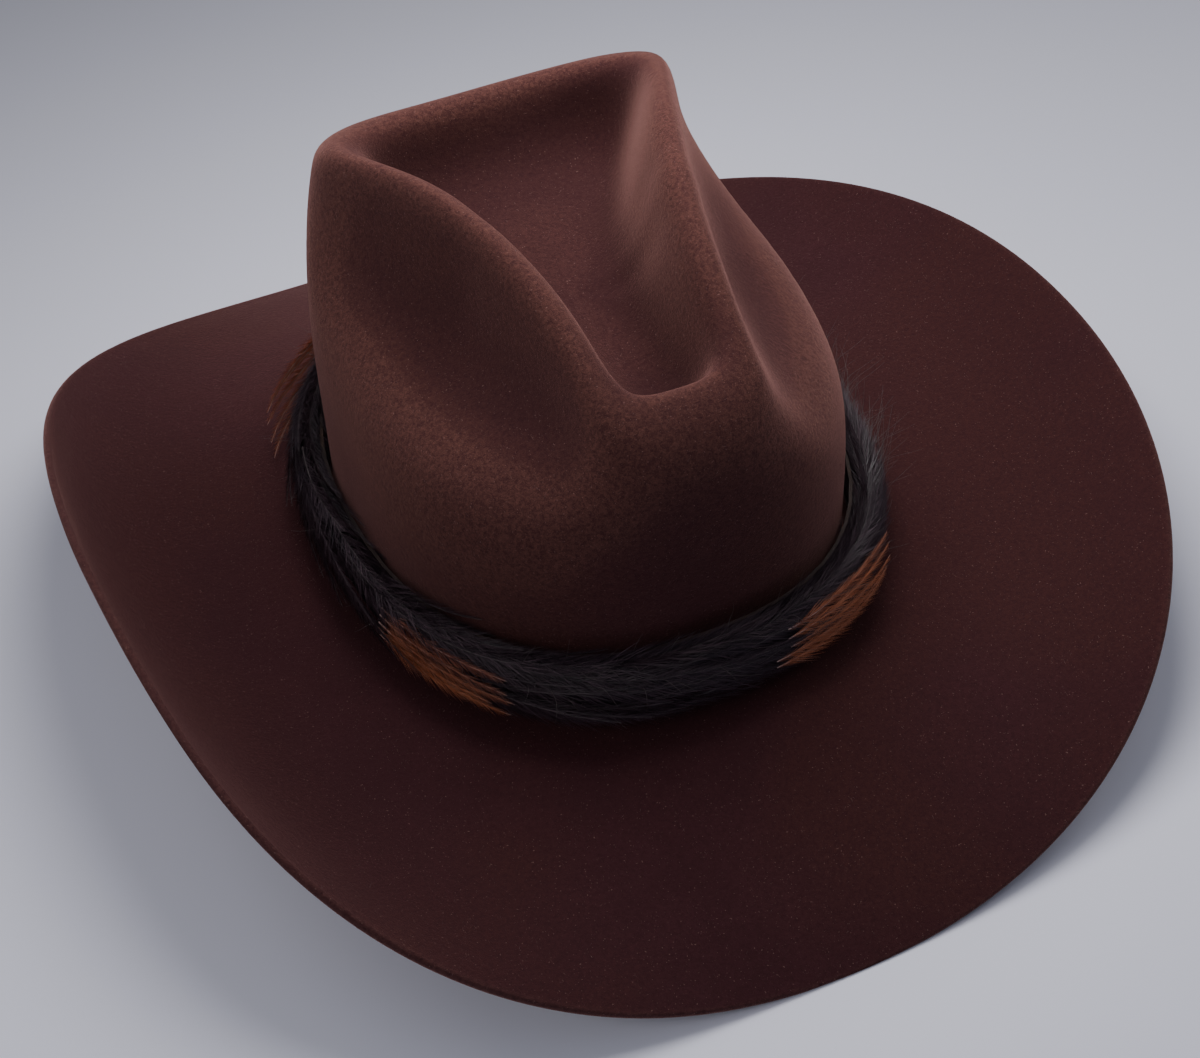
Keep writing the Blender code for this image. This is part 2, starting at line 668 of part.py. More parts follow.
def make_knot(lift, leather, parent):
    """The tied knot at the back with its two short tails, one solid."""
    middle = ring_point(math.pi, BACKING_OFFSET + KNOT_RADIUS + 0.0004, TIE_HEIGHT) + raised(lift)
    work = bmesh.new()
    bmesh.ops.create_uvsphere(work, u_segments=12, v_segments=8, radius=KNOT_RADIUS)
    for vertex in work.verts:
        vertex.co.z *= 0.85
        vertex.co += type(vertex.co)(middle)
    mesh = bpy.data.meshes.new("tie_knot")
    work.to_mesh(mesh)
    work.free()
    mesh.shade_smooth()
    mesh.materials.append(leather)
    knot = bpy.data.objects.new("tie_knot", mesh)
    knot.parent = parent
    bpy.context.scene.collection.objects.link(knot)
    for side in (-1.0, 1.0):
        sections = []
        for share in np.linspace(0.0, 1.0, 5):
            swing = 0.25 + 0.9 * share
            x = side * (0.0016 + 0.009 * share)
            y = middle[1] + 0.0012 + 0.003 * math.sin(swing)
            z = middle[2] - 0.001 - (TAIL_LENGTH - 0.0105) * share
            ring = []
            for turn in np.linspace(0.0, 2.0 * math.pi, 6, endpoint=False):
                ring.append((x + THONG_RADIUS * math.cos(turn), y + THONG_RADIUS * 0.8 * math.sin(turn), z))
            sections.append(ring)
        points, faces = tube_solid(sections, closed=False)
        tail = add_object("tail_cutter", points, faces, leather)
        tail.hide_render = True
        tail.display_type = "WIRE"
        join = knot.modifiers.new("tail", "BOOLEAN")
        join.operation = "UNION"
        join.solver = "EXACT"
        join.object = tail


def make_bundles(lift, parent):
    """The dark hackles, as overlapping bundles laid end to end round the crown."""
    hackle = make_material("dark_hackle", (0.028, 0.022, 0.030), 0.6)
    end = math.pi - CLOSURE_HALF_ANGLE
    edges = np.linspace(-end, end, BUNDLE_COUNT + 1)
    trim = 0.5 * (GAP + 0.0001) / BLOCK_HALF_WIDTH
    for i in range(BUNDLE_COUNT):
        sections = []
        for share in np.linspace(0.0, 1.0, 6):
            angle = edges[i] + trim + (edges[i + 1] - edges[i] - 2.0 * trim) * share
            fullness = 0.86 + 0.14 * math.sin(math.pi * share)
            ring = []
            for turn in np.linspace(0.0, 2.0 * math.pi, 10, endpoint=False):
                offset = BUNDLE_OFFSET + BUNDLE_HALF_THICKNESS * math.cos(turn) * fullness
                offset = max(offset, BACKING_OFFSET + BACKING + GAP + 0.0001)
                height = BUNDLE_HEIGHT + BUNDLE_HALF_HEIGHT * math.sin(turn) * fullness
                ring.append(bundle_point(angle, offset, height, lift))
            sections.append(ring)
        points, faces = tube_solid(sections, closed=False)
        add_object(f"hackle_bundle_{i + 1:02d}", points, faces, hackle, parent)


def bundle_point(angle, offset, height, lift):
    """A point round the crown's foot that keeps its distance from the oval at the band's middle height."""
    base = ring_point(angle, offset, BUNDLE_HEIGHT)
    return np.array([base[0], base[1], lift + height])


def make_accents(lift, parent):
    """The rust coloured feathers that lie over the dark ones."""
    rust = make_material("rust_feather", (0.20, 0.065, 0.028), 0.6)
    offset = BUNDLE_OFFSET + BUNDLE_HALF_THICKNESS + 2 * GAP
    for name, degrees in ACCENT_ANGLES.items():
        upper, lower = [], []
        for share in np.linspace(-1.0, 1.0, 9):
            angle = math.radians(degrees) + share * ACCENT_HALF_LENGTH / (BLOCK_HALF_WIDTH + offset)
            half = ACCENT_HALF_HEIGHT * (0.10 + 0.90 * math.sqrt(max(1.0 - share**2, 0.0)))
            middle = BUNDLE_HEIGHT - 0.002
            heights = [middle - half, middle, middle + half]
            lower.append([bundle_point(angle, offset, height, lift) for height in heights])
            upper.append([bundle_point(angle, offset + ACCENT, height, lift) for height in heights])
        points, faces = plate_solid(upper, lower)
        add_object("accent_feather_" + name, points, faces, rust, parent)


def main():
    for piece in list(bpy.data.objects):
        bpy.data.objects.remove(piece)
    angles = ring_angles(AROUND) + math.pi
    grid = felt_grid(angles, BRIM_ROWS, CROWN_ROWS, DISH_ROWS)
    lift = stand_height(grid, grid - grid_normals(grid) * FELT)
    hatband = bpy.data.objects.new("hatband_lift", None)
    bpy.context.scene.collection.objects.link(hatband)
    make_felt(lift)
    make_sweatband(lift)
    make_lining(lift)
    make_backing(lift, hatband)
    make_bundles(lift, hatband)
    make_accents(lift, hatband)
    # The curled brim isn't the same on both sides, so the whole hat moves to put its middle over the origin.
    low, high = grid.reshape(-1, 3).min(axis=0), grid.reshape(-1, 3).max(axis=0)
    for piece in bpy.data.objects:
        if piece.parent is None:
            piece.location = (-(low[0] + high[0]) / 2.0, -(low[1] + high[1]) / 2.0, 0.0)


if __name__ == "__main__":
    main()
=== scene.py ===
"""Looks for a felt western hat: napped felt, a feather hatband, a leather sweatband and a satin lining.

Metres, +Z up. The hat stands on the front and back lows of its brim, and the wearer faces -Y. Heights in
the shape functions are measured from the brim break, and angles go round the crown from the front to +X.
"""

import math

import bmesh
import bpy
import numpy as np
from bpy.props import FloatProperty, FloatVectorProperty, IntProperty, PointerProperty
from mathutils import Matrix


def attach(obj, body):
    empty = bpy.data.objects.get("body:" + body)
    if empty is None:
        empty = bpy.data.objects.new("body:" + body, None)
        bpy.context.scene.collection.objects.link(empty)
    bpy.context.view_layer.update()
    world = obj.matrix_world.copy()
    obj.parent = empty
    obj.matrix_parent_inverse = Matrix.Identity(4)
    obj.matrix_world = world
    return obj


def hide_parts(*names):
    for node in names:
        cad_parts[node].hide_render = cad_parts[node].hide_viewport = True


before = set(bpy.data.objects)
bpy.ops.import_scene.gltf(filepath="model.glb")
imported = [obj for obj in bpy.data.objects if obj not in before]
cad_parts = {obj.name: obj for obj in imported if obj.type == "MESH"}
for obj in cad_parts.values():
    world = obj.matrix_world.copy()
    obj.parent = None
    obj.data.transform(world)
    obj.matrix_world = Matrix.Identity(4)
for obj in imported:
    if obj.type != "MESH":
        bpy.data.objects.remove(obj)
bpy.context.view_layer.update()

bl_info = {
    "name": "Felt hat",
    "version": (1, 0, 0),
    "blender": (4, 5, 0),
    "location": "3D View > Sidebar > Hat",
    "description": "Makes the felt, feathers, leather and satin of a western hat around its solid model",
    "category": "Object",
}

# The block: the oval that the felt is shaped on, measured on the outside of the felt at the brim break.
BLOCK_HALF_WIDTH = 0.0870
BLOCK_HALF_LENGTH = 0.1030
OVAL_POWER = 2.15
OVAL_SQUARING = 4.3
FELT = 0.0028
GAP = 0.0003

# With height the crown wall narrows, rounds in and squares off, and it leans backwards as a whole.
TAPER_WIDTH = 0.018
TAPER_LENGTH = -0.020
ROUNDING_WIDTH = 0.20
ROUNDING_LENGTH = 0.50
CROWN_LEAN = 0.022

# Heights above the brim break.
CREST_FRONT = 0.1085
CREST_BACK = 0.1325
CREST_BOW = 0.0260
BULGE_HEIGHT = 0.0920
BULGE_ROUND = 0.0420
DISH_FLOOR = 0.0950
DISH_SLOPE = 0.10

# The crest seen from above: a blunt front tip widening to two back corners.
PICK_FRONT = 0.0875
PICK_BACK = 0.0780
PICK_TIP_HALF = 0.0075
PICK_BACK_HALF = 0.0475
PICK_ROUND = 0.0160
CREST_PINCH = 0.0118
CREST_HALF_WALL = 0.0090
FLANK_FLARE = 0.13
DISH_FLARE = 0.25
DISH_INSET = 0.0171
DISH_WALL_FLARE = 0.15
BULGE_TILT = 0.06

# Blend radii between the hatmaker's tools.
TOP_BLEND = 0.012
WALL_BLEND = 0.020
DENT_BLEND = 0.040
DISH_BLEND = 0.025
CREST_BLEND = 0.016

# How much of each field's slope is left after it is scaled to read as a distance.
WALL_SCALE = 0.95
CREST_SCALE = 0.97
LEVEL_SCALE = 0.90

# The brim: its width, and the slope of its cross-section at the break and at the edge, in degrees.
BRIM_WIDTH = 0.1190
BRIM_TRIM = 0.0037
FRONT_SLOPES = (-17.5, -36.0)
BACK_SLOPES = (-13.2, -13.8)
LEFT_SLOPES = (-8.4, 92.5)
RIGHT_SLOPES = (-1.3, 33.7)
QUARTER_LIFT = 13.7
CURL_POWER = 1.87
SIDE_POWER = 2.4
BREAK_FILLET = 0.0070
REST_FLAT = 0.0020

# The hatband's cross-section, as the solid model has it.
BAND_HALF_WIDTH = 0.0870
BAND_HALF_LENGTH = 0.1032
BAND_POWER = 2.36
BACKING = 0.0012
BACKING_OFFSET = 0.0004
BUNDLE_COUNT = 12
BUNDLE_HALF_THICKNESS = 0.0043
BUNDLE_HALF_HEIGHT = 0.0115
BUNDLE_OFFSET = 0.0066
BUNDLE_HEIGHT = 0.0150
CLOSURE_HALF_ANGLE = math.radians(8.0)
ACCENT_ANGLES = {"front_left": -58.0, "front_right": 25.0, "rear_left": -138.0, "rear_right": 124.0}
TIE_HEIGHT = 0.0165
CAP_HALF_HEIGHT = 0.0088
CAP_NARROWING = 0.0047
CAP_HALF_THICKNESS = 0.0019
THONG_RADIUS = 0.00115
KNOT_RADIUS = 0.00098
TAIL_RADIUS = 0.00105
TAIL_SPREAD = 0.0088
TAIL_FALL = 0.0112

# Sweatband and lining.
SWEATBAND = 0.0012
SWEATBAND_OFFSET = 0.0039
SWEATBAND_TOP = 0.0460
SWEATBAND_BOTTOM = -0.0016
SWEATBAND_SLIT = 0.0012
SEAM_INSET = 0.0030
BOW_HEIGHT = 0.0090
BOW_HALF_LENGTH = 0.0083
LINING = 0.0006
LINING_GAP = 0.0022
LINING_BOTTOM = 0.0500
LINING_TOP = 0.0700
TIP_RISE = 0.0120
PIPING_RADIUS = 0.0011

# The solid model's own mesh density, which fixes how high the brim break stands.
MODEL_AROUND = 44
MODEL_ROWS = (8, 12, 9)
MODEL_STEP = 0.0008

# This script's mesh density. The crown's rays crowd towards the front, where its arms run almost along them.
FELT_AROUND = 256
FELT_ROWS = (38, 58, 36)
FELT_FILLET_ROWS = 5
FELT_STEP = 0.0005
FRONT_CROWDING = 0.40
LONGEST_SECTION = 0.42
BRIM_PIECES = 24
RISE_CROWDING = 1.35
FALL_CROWDING = 1.25
RELAX_ROUNDS = 11
EDGE_CORNER = 0.0006


# ---------------------------------------------------------------------------------------------------------
# The hat's shape


def smooth_max(first, second, radius):
    """The larger of two fields, with the corner between them rounded."""
    near = np.maximum(radius - np.abs(first - second), 0.0) / radius
    return np.maximum(first, second) + near**3 * radius / 6.0


def smooth_min(first, second, radius):
    return -smooth_max(-first, -second, radius)


def power(value, exponent):
    return np.sign(value) * np.abs(value) ** exponent


def oval_power(height):
    """The oval's exponent, which grows with height: the crown squares off towards its corners."""
    return OVAL_POWER + OVAL_SQUARING * height


def oval(angle, half_width, half_length, exponent=OVAL_POWER):
    """Points and outward normals of the hat's oval, in plan."""
    x = half_width * power(np.sin(angle), 2.0 / exponent)
    y = -half_length * power(np.cos(angle), 2.0 / exponent)
    slope_x = power(x / half_width, exponent - 1.0) / half_width
    slope_y = power(y / half_length, exponent - 1.0) / half_length
    size = np.hypot(slope_x, slope_y)
    return x, y, slope_x / size, slope_y / size


def block_size(height):
    """Half width and half length of the crown's wall at a height above the brim break."""
    width = BLOCK_HALF_WIDTH - TAPER_WIDTH * height - ROUNDING_WIDTH * height**2
    length = BLOCK_HALF_LENGTH - TAPER_LENGTH * height - ROUNDING_LENGTH * height**2
    return width, length


def ring_point(angle, height, offset=0.0):
    """Points on the band, an offset out from its inner face. Its plan clears every section of the crown."""
    angle, height, offset = np.broadcast_arrays(np.asarray(angle, float), height, offset)
    x, y, normal_x, normal_y = oval(angle, BAND_HALF_WIDTH, BAND_HALF_LENGTH, BAND_POWER)
    leant = y + normal_y * offset + CROWN_LEAN * height
    return np.stack([x + normal_x * offset, leant, height], axis=-1)


def wall_point(angle, height, offset=0.0):
    """Points on the lower crown wall, moved outwards in plan by an offset. The arguments may be arrays."""
    angle, height, offset = np.broadcast_arrays(np.asarray(angle, float), height, offset)
    level = np.maximum(height, 0.0)
    width, length = block_size(level)
    x, y, normal_x, normal_y = oval(angle, width, length, oval_power(level))
    return np.stack([x + normal_x * offset, y + normal_y * offset + CROWN_LEAN * level, height], axis=-1)


def segment_distance(x, y, start, end):
    run_x, run_y = end[0] - start[0], end[1] - start[1]
    along = ((x - start[0]) * run_x + (y - start[1]) * run_y) / (run_x**2 + run_y**2)
    along = np.clip(along, 0.0, 1.0)
    return np.hypot(x - start[0] - along * run_x, y - start[1] - along * run_y)


def crest_share(y):
    """Place along the crest, from 0 at its front tip to 1 at its back."""
    return (y + PICK_FRONT) / (PICK_FRONT + PICK_BACK)


def pick_distance(x, y):
    """Signed distance in plan to the crest's outline, before its corners are rounded."""
    along = np.clip(crest_share(y), 0.0, 1.0)
    x = np.abs(x) + CREST_PINCH * 4.0 * along * (1.0 - along)
    front = -(PICK_FRONT - PICK_ROUND)
    back = PICK_BACK - PICK_ROUND
    tip = (PICK_TIP_HALF, front)
    corner = (PICK_BACK_HALF, back)
    away = np.minimum(
        np.minimum(segment_distance(x, y, (0.0, front), tip), segment_distance(x, y, tip, corner)),
        segment_distance(x, y, corner, (0.0, back)),
    )
    side = (x - tip[0]) * (corner[1] - tip[1]) - (y - tip[1]) * (corner[0] - tip[0])
    inside = (side < 0.0) & (y > front) & (y < back)
    return np.where(inside, -away, away) - PICK_ROUND


def crown_field(x, y, z):
    """Negative inside the crown as if it were solid: a bulging block joined to a pick, less the dish."""
    width, length = block_size(z)
    width, length = np.maximum(width, 0.005), np.maximum(length, 0.005)
    exponent = oval_power(np.maximum(z, 0.0))
    ratio = (np.abs(x) / width) ** exponent + (np.abs(y - CROWN_LEAN * z) / length) ** exponent
    wall = ((ratio + 1e-12) ** (1.0 / exponent) - 1.0) * np.sqrt(width * length) * WALL_SCALE
    along = np.clip(crest_share(y), -0.3, 1.3)
    crest = CREST_FRONT + (CREST_BACK - CREST_FRONT) * along + CREST_BOW * 4.0 * along * (1.0 - along)
    below = np.maximum(crest - z, 0.0)
    bulge = smooth_max(wall, (z - BULGE_HEIGHT - BULGE_TILT * y) * LEVEL_SCALE, BULGE_ROUND)
    plan = pick_distance(x, y)
    pick = smooth_max(plan - CREST_HALF_WALL - FLANK_FLARE * below, (z - crest) * CREST_SCALE, TOP_BLEND)
    pick = smooth_max(pick, wall, WALL_BLEND)
    body = np.maximum(smooth_min(pick, bulge, DENT_BLEND), wall)
    floor = DISH_FLOOR + DISH_SLOPE * y
    dish = smooth_max(plan + DISH_FLARE * below, wall + DISH_INSET + DISH_WALL_FLARE * below, PICK_ROUND)
    dish = smooth_max(dish, (floor - z) * LEVEL_SCALE, DISH_BLEND)
    return smooth_max(body, -dish, CREST_BLEND)


def crown_profiles(angles, step):
    """For each angle, the crown's section from the wall's foot, over the crest, to the dish's middle."""
    start = wall_point(angles, BREAK_FILLET)
    heading = np.arctan2(start[:, 0], -start[:, 1])
    sine, cosine = np.sin(heading), np.cos(heading)

    def field(radius, height):
        return crown_field(radius * sine, -radius * cosine, height)

    radius, height = np.hypot(start[:, 0], start[:, 1]), np.full(len(angles), BREAK_FILLET)
    path = [np.stack([radius, height], axis=-1)]
    tiny = 1e-5
    for _ in range(int(LONGEST_SECTION / step)):
        slope_r = (field(radius + tiny, height) - field(radius - tiny, height)) / (2 * tiny)
        slope_z = (field(radius, height + tiny) - field(radius, height - tiny)) / (2 * tiny)
        size = np.hypot(slope_r, slope_z) + 1e-9
        moving = radius > step * 1.5
        radius = np.where(moving, radius - slope_z / size * step, radius)
        height = np.where(moving, height + slope_r / size * step, height)
        error = field(radius, height)
        radius = np.where(moving, radius - slope_r / size**2 * error, radius)
        height = np.where(moving, height - slope_z / size**2 * error, height)
        path.append(np.stack([radius, height], axis=-1))
        if not moving.any():
            break
    path.append(np.tile([0.0, height.mean()], (len(angles), 1)))
    return np.stack(path, axis=1), heading


def resample(line, shares):
    """Points at the given shares of a line's length."""
    steps = np.linalg.norm(np.diff(line, axis=0), axis=1)
    length = np.concatenate([[0.0], np.cumsum(steps)])
    places = np.asarray(shares) * length[-1]
    return np.stack([np.interp(places, length, line[:, i]) for i in range(line.shape[1])], axis=-1)


def brim_section(angle, shares):
    """Reach and height of the brim's upper face at each share of its width, from the break outwards."""
    side = np.abs(np.sin(angle)) ** SIDE_POWER
    front, back = (1.0 - side) * (np.cos(angle) > 0.0), (1.0 - side) * (np.cos(angle) <= 0.0)
    right, left = side * (np.sin(angle) > 0.0), side * (np.sin(angle) <= 0.0)
    inner, outer = (
        front * FRONT_SLOPES[i] + back * BACK_SLOPES[i] + left * LEFT_SLOPES[i] + right * RIGHT_SLOPES[i]
        for i in (0, 1)
    )
    outer = outer + QUARTER_LIFT * np.sin(2.0 * angle) ** 2
    width = BRIM_WIDTH - BRIM_TRIM * (front + back)
    middles = (np.arange(BRIM_PIECES) + 0.5) / BRIM_PIECES
    reach, rise = [], []
    for share in shares:
        bend = (middles[None, :] * share) ** CURL_POWER
        slope = np.radians(inner[:, None] + (outer - inner)[:, None] * bend)
        reach.append(width * share * np.cos(slope).mean(axis=1))
        rise.append(width * share * np.sin(slope).mean(axis=1))
    return np.array(reach), np.array(rise)


def level_lows(angles, shares):
    """The small change of height that brings the brim's front and back edges to one level."""
    front, back = brim_section(np.array([0.0, math.pi]), [1.0])[1][0]
    level = (front + back) / 2.0
    ease = 1.0 - np.abs(np.sin(angles)) ** SIDE_POWER
    change = np.where(np.cos(angles) > 0.0, level - front, level - back) * ease
    return np.asarray(shares)[:, None] ** 2 * change[None, :]


def felt_grid(angles, rows_each, fillet_rows, step):
    """The hat's outer face as rows of points: brim edge, brim, fillet, crown wall, crest and dish."""
    brim_rows, crown_rows, dish_rows = rows_each
    foot = BREAK_FILLET / BRIM_WIDTH
    shares = 1.0 - (1.0 - foot) * np.linspace(0.0, 1.0, brim_rows + 1)
    reach, rise = brim_section(angles, shares)
    rise += level_lows(angles, shares)
    x, y, normal_x, normal_y = oval(angles, BLOCK_HALF_WIDTH, BLOCK_HALF_LENGTH)
    rows = [
        np.stack([x + normal_x * out, y + normal_y * out, up], axis=-1)
        for out, up in zip(reach, rise, strict=True)
    ]
    corner = np.stack([x, y, np.zeros_like(x)], axis=-1)
    wall = wall_point(angles, BREAK_FILLET)
    for share in np.arange(1, fillet_rows + 1) / (fillet_rows + 1):
        rows.append((1 - share) ** 2 * rows[brim_rows] + 2 * share * (1 - share) * corner + share**2 * wall)
    paths, heading = crown_profiles(angles, step)
    rise_shares = 1.0 - (1.0 - np.linspace(0.0, 1.0, crown_rows + 1)) ** RISE_CROWDING
    fall_shares = np.linspace(0.0, 1.0, dish_rows + 1)[1:] ** FALL_CROWDING
    sections = []
    for path in paths:
        top = int(path[:, 1].argmax())
        rising, falling = resample(path[: top + 1], rise_shares), resample(path[top:], fall_shares)
        sections.append(np.concatenate([rising, falling]))
    radius, height = np.moveaxis(np.array(sections), 2, 0)
    crown = np.stack([radius * np.sin(heading)[:, None], -radius * np.cos(heading)[:, None], height], axis=-1)
    return np.concatenate([np.array(rows), np.swapaxes(crown, 0, 1)])


def grid_normals(grid):
    """Outward normals of a felt grid, whose last row is one point."""
    along = np.gradient(grid, axis=0)
    around = np.roll(grid, -1, axis=1) - np.roll(grid, 1, axis=1)
    normals = np.cross(around, along)
    normals[-1] = (0.0, 0.0, 1.0)
    return normals / np.linalg.norm(normals, axis=-1, keepdims=True)


def hat_place():
    """How far the shape functions' own origin is moved to stand in the frame, as one vector."""
    angles = np.linspace(-math.pi, math.pi, MODEL_AROUND, endpoint=False) + math.pi
    grid = felt_grid(angles, MODEL_ROWS, 2, MODEL_STEP)
    inner = grid - grid_normals(grid) * FELT
    low, high = grid.reshape(-1, 3).min(axis=0), grid.reshape(-1, 3).max(axis=0)
    lowest = min(grid[..., 2].min(), inner[..., 2].min())
    return np.array([-(low[0] + high[0]) / 2.0, -(low[1] + high[1]) / 2.0, -lowest - REST_FLAT])


PLACE = hat_place()


def relax(grid, rounds, kept_rows=0):
    """The grid with each point drawn towards its neighbours. Its first rows stay as they are."""
    for _ in range(rounds):
        around = (np.roll(grid, 1, axis=1) + np.roll(grid, -1, axis=1)) / 2.0
        along = grid.copy()
        along[1:-1] = (grid[2:] + grid[:-2]) / 2.0
        eased = grid / 2.0 + around / 4.0 + along / 4.0
        eased[: kept_rows + 1] = grid[: kept_rows + 1]
        eased[-1] = grid[-2].mean(axis=0)
        grid = eased
    return grid


# ---------------------------------------------------------------------------------------------------------
# Meshes


def add_piece(name, points, faces, materials=(), edges=()):
    """A new object at the origin whose mesh holds the points as they are."""
    mesh = bpy.data.meshes.new(name)
    mesh.from_pydata(np.asarray(points).tolist(), list(edges), [tuple(face) for face in faces])
    for material in materials:
        mesh.materials.append(material)
    piece = bpy.data.objects.new(name, mesh)
    bpy.context.scene.collection.objects.link(piece)
    return piece


def face_outwards(piece, sharp_degrees=60.0):
    """Recalculates a closed mesh's normals and shades it smooth."""
    work = bmesh.new()
    work.from_mesh(piece.data)
    bmesh.ops.recalc_face_normals(work, faces=work.faces)
    if work.calc_volume(signed=True) < 0.0:
        bmesh.ops.reverse_faces(work, faces=work.faces)
    work.to_mesh(piece.data)
    work.free()
    piece.data.shade_smooth()
    piece.data.set_sharp_from_angle(angle=math.radians(sharp_degrees))
    return piece


def set_attribute(mesh, name, kind, values):
    """Stores one value for each point of a mesh."""
    attribute = mesh.attributes.new(name, kind, "POINT")
    field = "vector" if kind == "FLOAT_VECTOR" else "value"
    attribute.data.foreach_set(field, np.asarray(values).ravel())


def loft_faces(rows, columns, wrap_rows=False, wrap_columns=True):
    """Quads between neighbouring points of a grid numbered row by row."""
    faces = []
    for i in range(rows if wrap_rows else rows - 1):
        below = (i + 1) % rows
        for j in range(columns if wrap_columns else columns - 1):
            turn = (j + 1) % columns
            faces.append((i * columns + j, i * columns + turn, below * columns + turn, below * columns + j))
    return faces


def add_tube(name, centres, radius, sides, material, closed=False, flatten=1.0):
    """A round tube along a line of points. The radius may be one number or one for each point."""
    centres = np.asarray(centres, float)
    count = len(centres)
    if closed:
        tangents = np.roll(centres, -1, axis=0) - np.roll(centres, 1, axis=0)
    else:
        tangents = np.gradient(centres, axis=0)
    tangents /= np.linalg.norm(tangents, axis=1, keepdims=True)
    upward = np.where(np.abs(tangents[:, 2:3]) > 0.9, [[0.0, 1.0, 0.0]], [[0.0, 0.0, 1.0]])
    side = np.cross(tangents, upward)
    side /= np.linalg.norm(side, axis=1, keepdims=True)
    over = np.cross(side, tangents)
    turns = np.linspace(0.0, 2.0 * math.pi, sides, endpoint=False)
    radius = np.broadcast_to(np.asarray(radius, float), (count,))[:, None, None]
    rings = centres[:, None] + radius * (
        side[:, None] * np.cos(turns)[None, :, None] * flatten + over[:, None] * np.sin(turns)[None, :, None]
    )
    faces = loft_faces(count, sides, wrap_rows=closed)
    if not closed:
        faces += [tuple(range(sides)), tuple(range((count - 1) * sides, count * sides))]
    return face_outwards(add_piece(name, rings.reshape(-1, 3), faces, [material]))


def finish_piece(piece, body, slot, *nodes):
    """Hands a finished piece to the frame: its body, and the solids that it stands for, which are hidden. Its
    finish is not used.
    """
    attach(piece, body)
    if nodes:
        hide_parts(*nodes)
    return piece


def repaint(node, material):
    """Gives a solid that stays as it is a finish of its own."""
    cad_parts[node].material_slots[0].material = material


# ---------------------------------------------------------------------------------------------------------
# Node trees


class Value:
    """A node's output socket. Arithmetic on it adds Math nodes."""

    def __init__(self, graph, socket):
        self.graph = graph
        self.socket = socket

    def math(self, operation, first, second):
        return self.graph.node("ShaderNodeMath", {"operation": operation}, {0: first, 1: second})

    def __add__(self, other):
        return self.math("ADD", self, other)

    def __sub__(self, other):
        return self.math("SUBTRACT", self, other)

    def __rsub__(self, other):
        return self.math("SUBTRACT", other, self)

    def __mul__(self, other):
        return self.math("MULTIPLY", self, other)

    def __pow__(self, other):
        return self.math("POWER", self, other)

    __radd__ = __add__
    __rmul__ = __mul__


class Graph:
    """Adds nodes to a tree."""

    def __init__(self, tree):
        self.tree = tree

    def feed(self, socket, value):
        if isinstance(value, Value):
            self.tree.links.new(value.socket, socket)
        elif isinstance(value, bpy.types.NodeSocket):
            self.tree.links.new(value, socket)
        else:
            socket.default_value = value

    def node(self, kind, settings=None, values=None, output=0):
        """Adds a node, fills in its settings and then its sockets, and returns one of its outputs."""
        made = self.tree.nodes.new(kind)
        for name, setting in (settings or {}).items():
            setattr(made, name, setting)
        for name, value in (values or {}).items():
            self.feed(made.inputs[name], value)
        return Value(self, made.outputs[output])


class Paint(Graph):
    """One material: a Principled shader and the nodes that feed it."""

    def __init__(self, name, constants):
        self.material = bpy.data.materials.new(name)
        self.material.use_nodes = True
        super().__init__(self.material.node_tree)
        self.shader = self.tree.nodes["Principled BSDF"]
        self.place = self.node("ShaderNodeTexCoord", output="Object")
        for socket, value in constants.items():
            self.shader.inputs[socket].default_value = value

    def set(self, socket, value):
        self.feed(self.shader.inputs[socket], value)

    def attribute(self, name, output="Fac"):
        return self.node("ShaderNodeAttribute", {"attribute_name": name}, output=output)

    def noise(self, scale, detail=2.0, roughness=0.5, stretch=None, distortion=0.0):
        place = self.place
        if stretch:
            place = self.node("ShaderNodeMapping", values={"Vector": place, "Scale": stretch})
        values = {"Vector": place, "Scale": scale, "Detail": detail}
        values |= {"Roughness": roughness, "Distortion": distortion}
        return self.node("ShaderNodeTexNoise", values=values)

    def between(self, value, low, high):
        """0 below low, 1 above high, and smooth between them."""
        values = {"Value": value, "From Min": low, "From Max": high}
        return self.node("ShaderNodeMapRange", {"interpolation_type": "SMOOTHSTEP"}, values)

    def mix(self, factor, first, second):
        """A colour between two, which may be colours or links."""
        return self.node("ShaderNodeMix", {"data_type": "RGBA"}, {0: factor, 6: first, 7: second}, output=2)

    def bump(self, height, strength, distance):
        self.set("Normal", self.node("ShaderNodeBump", values={
            "Height": height, "Strength": strength, "Distance": distance,
        }))


def rgba(colour, share=1.0):
    """A colour as a shader socket wants it, made darker or lighter by a share."""
    return (*(channel * share for channel in tuple(colour)[:3]), 1.0)


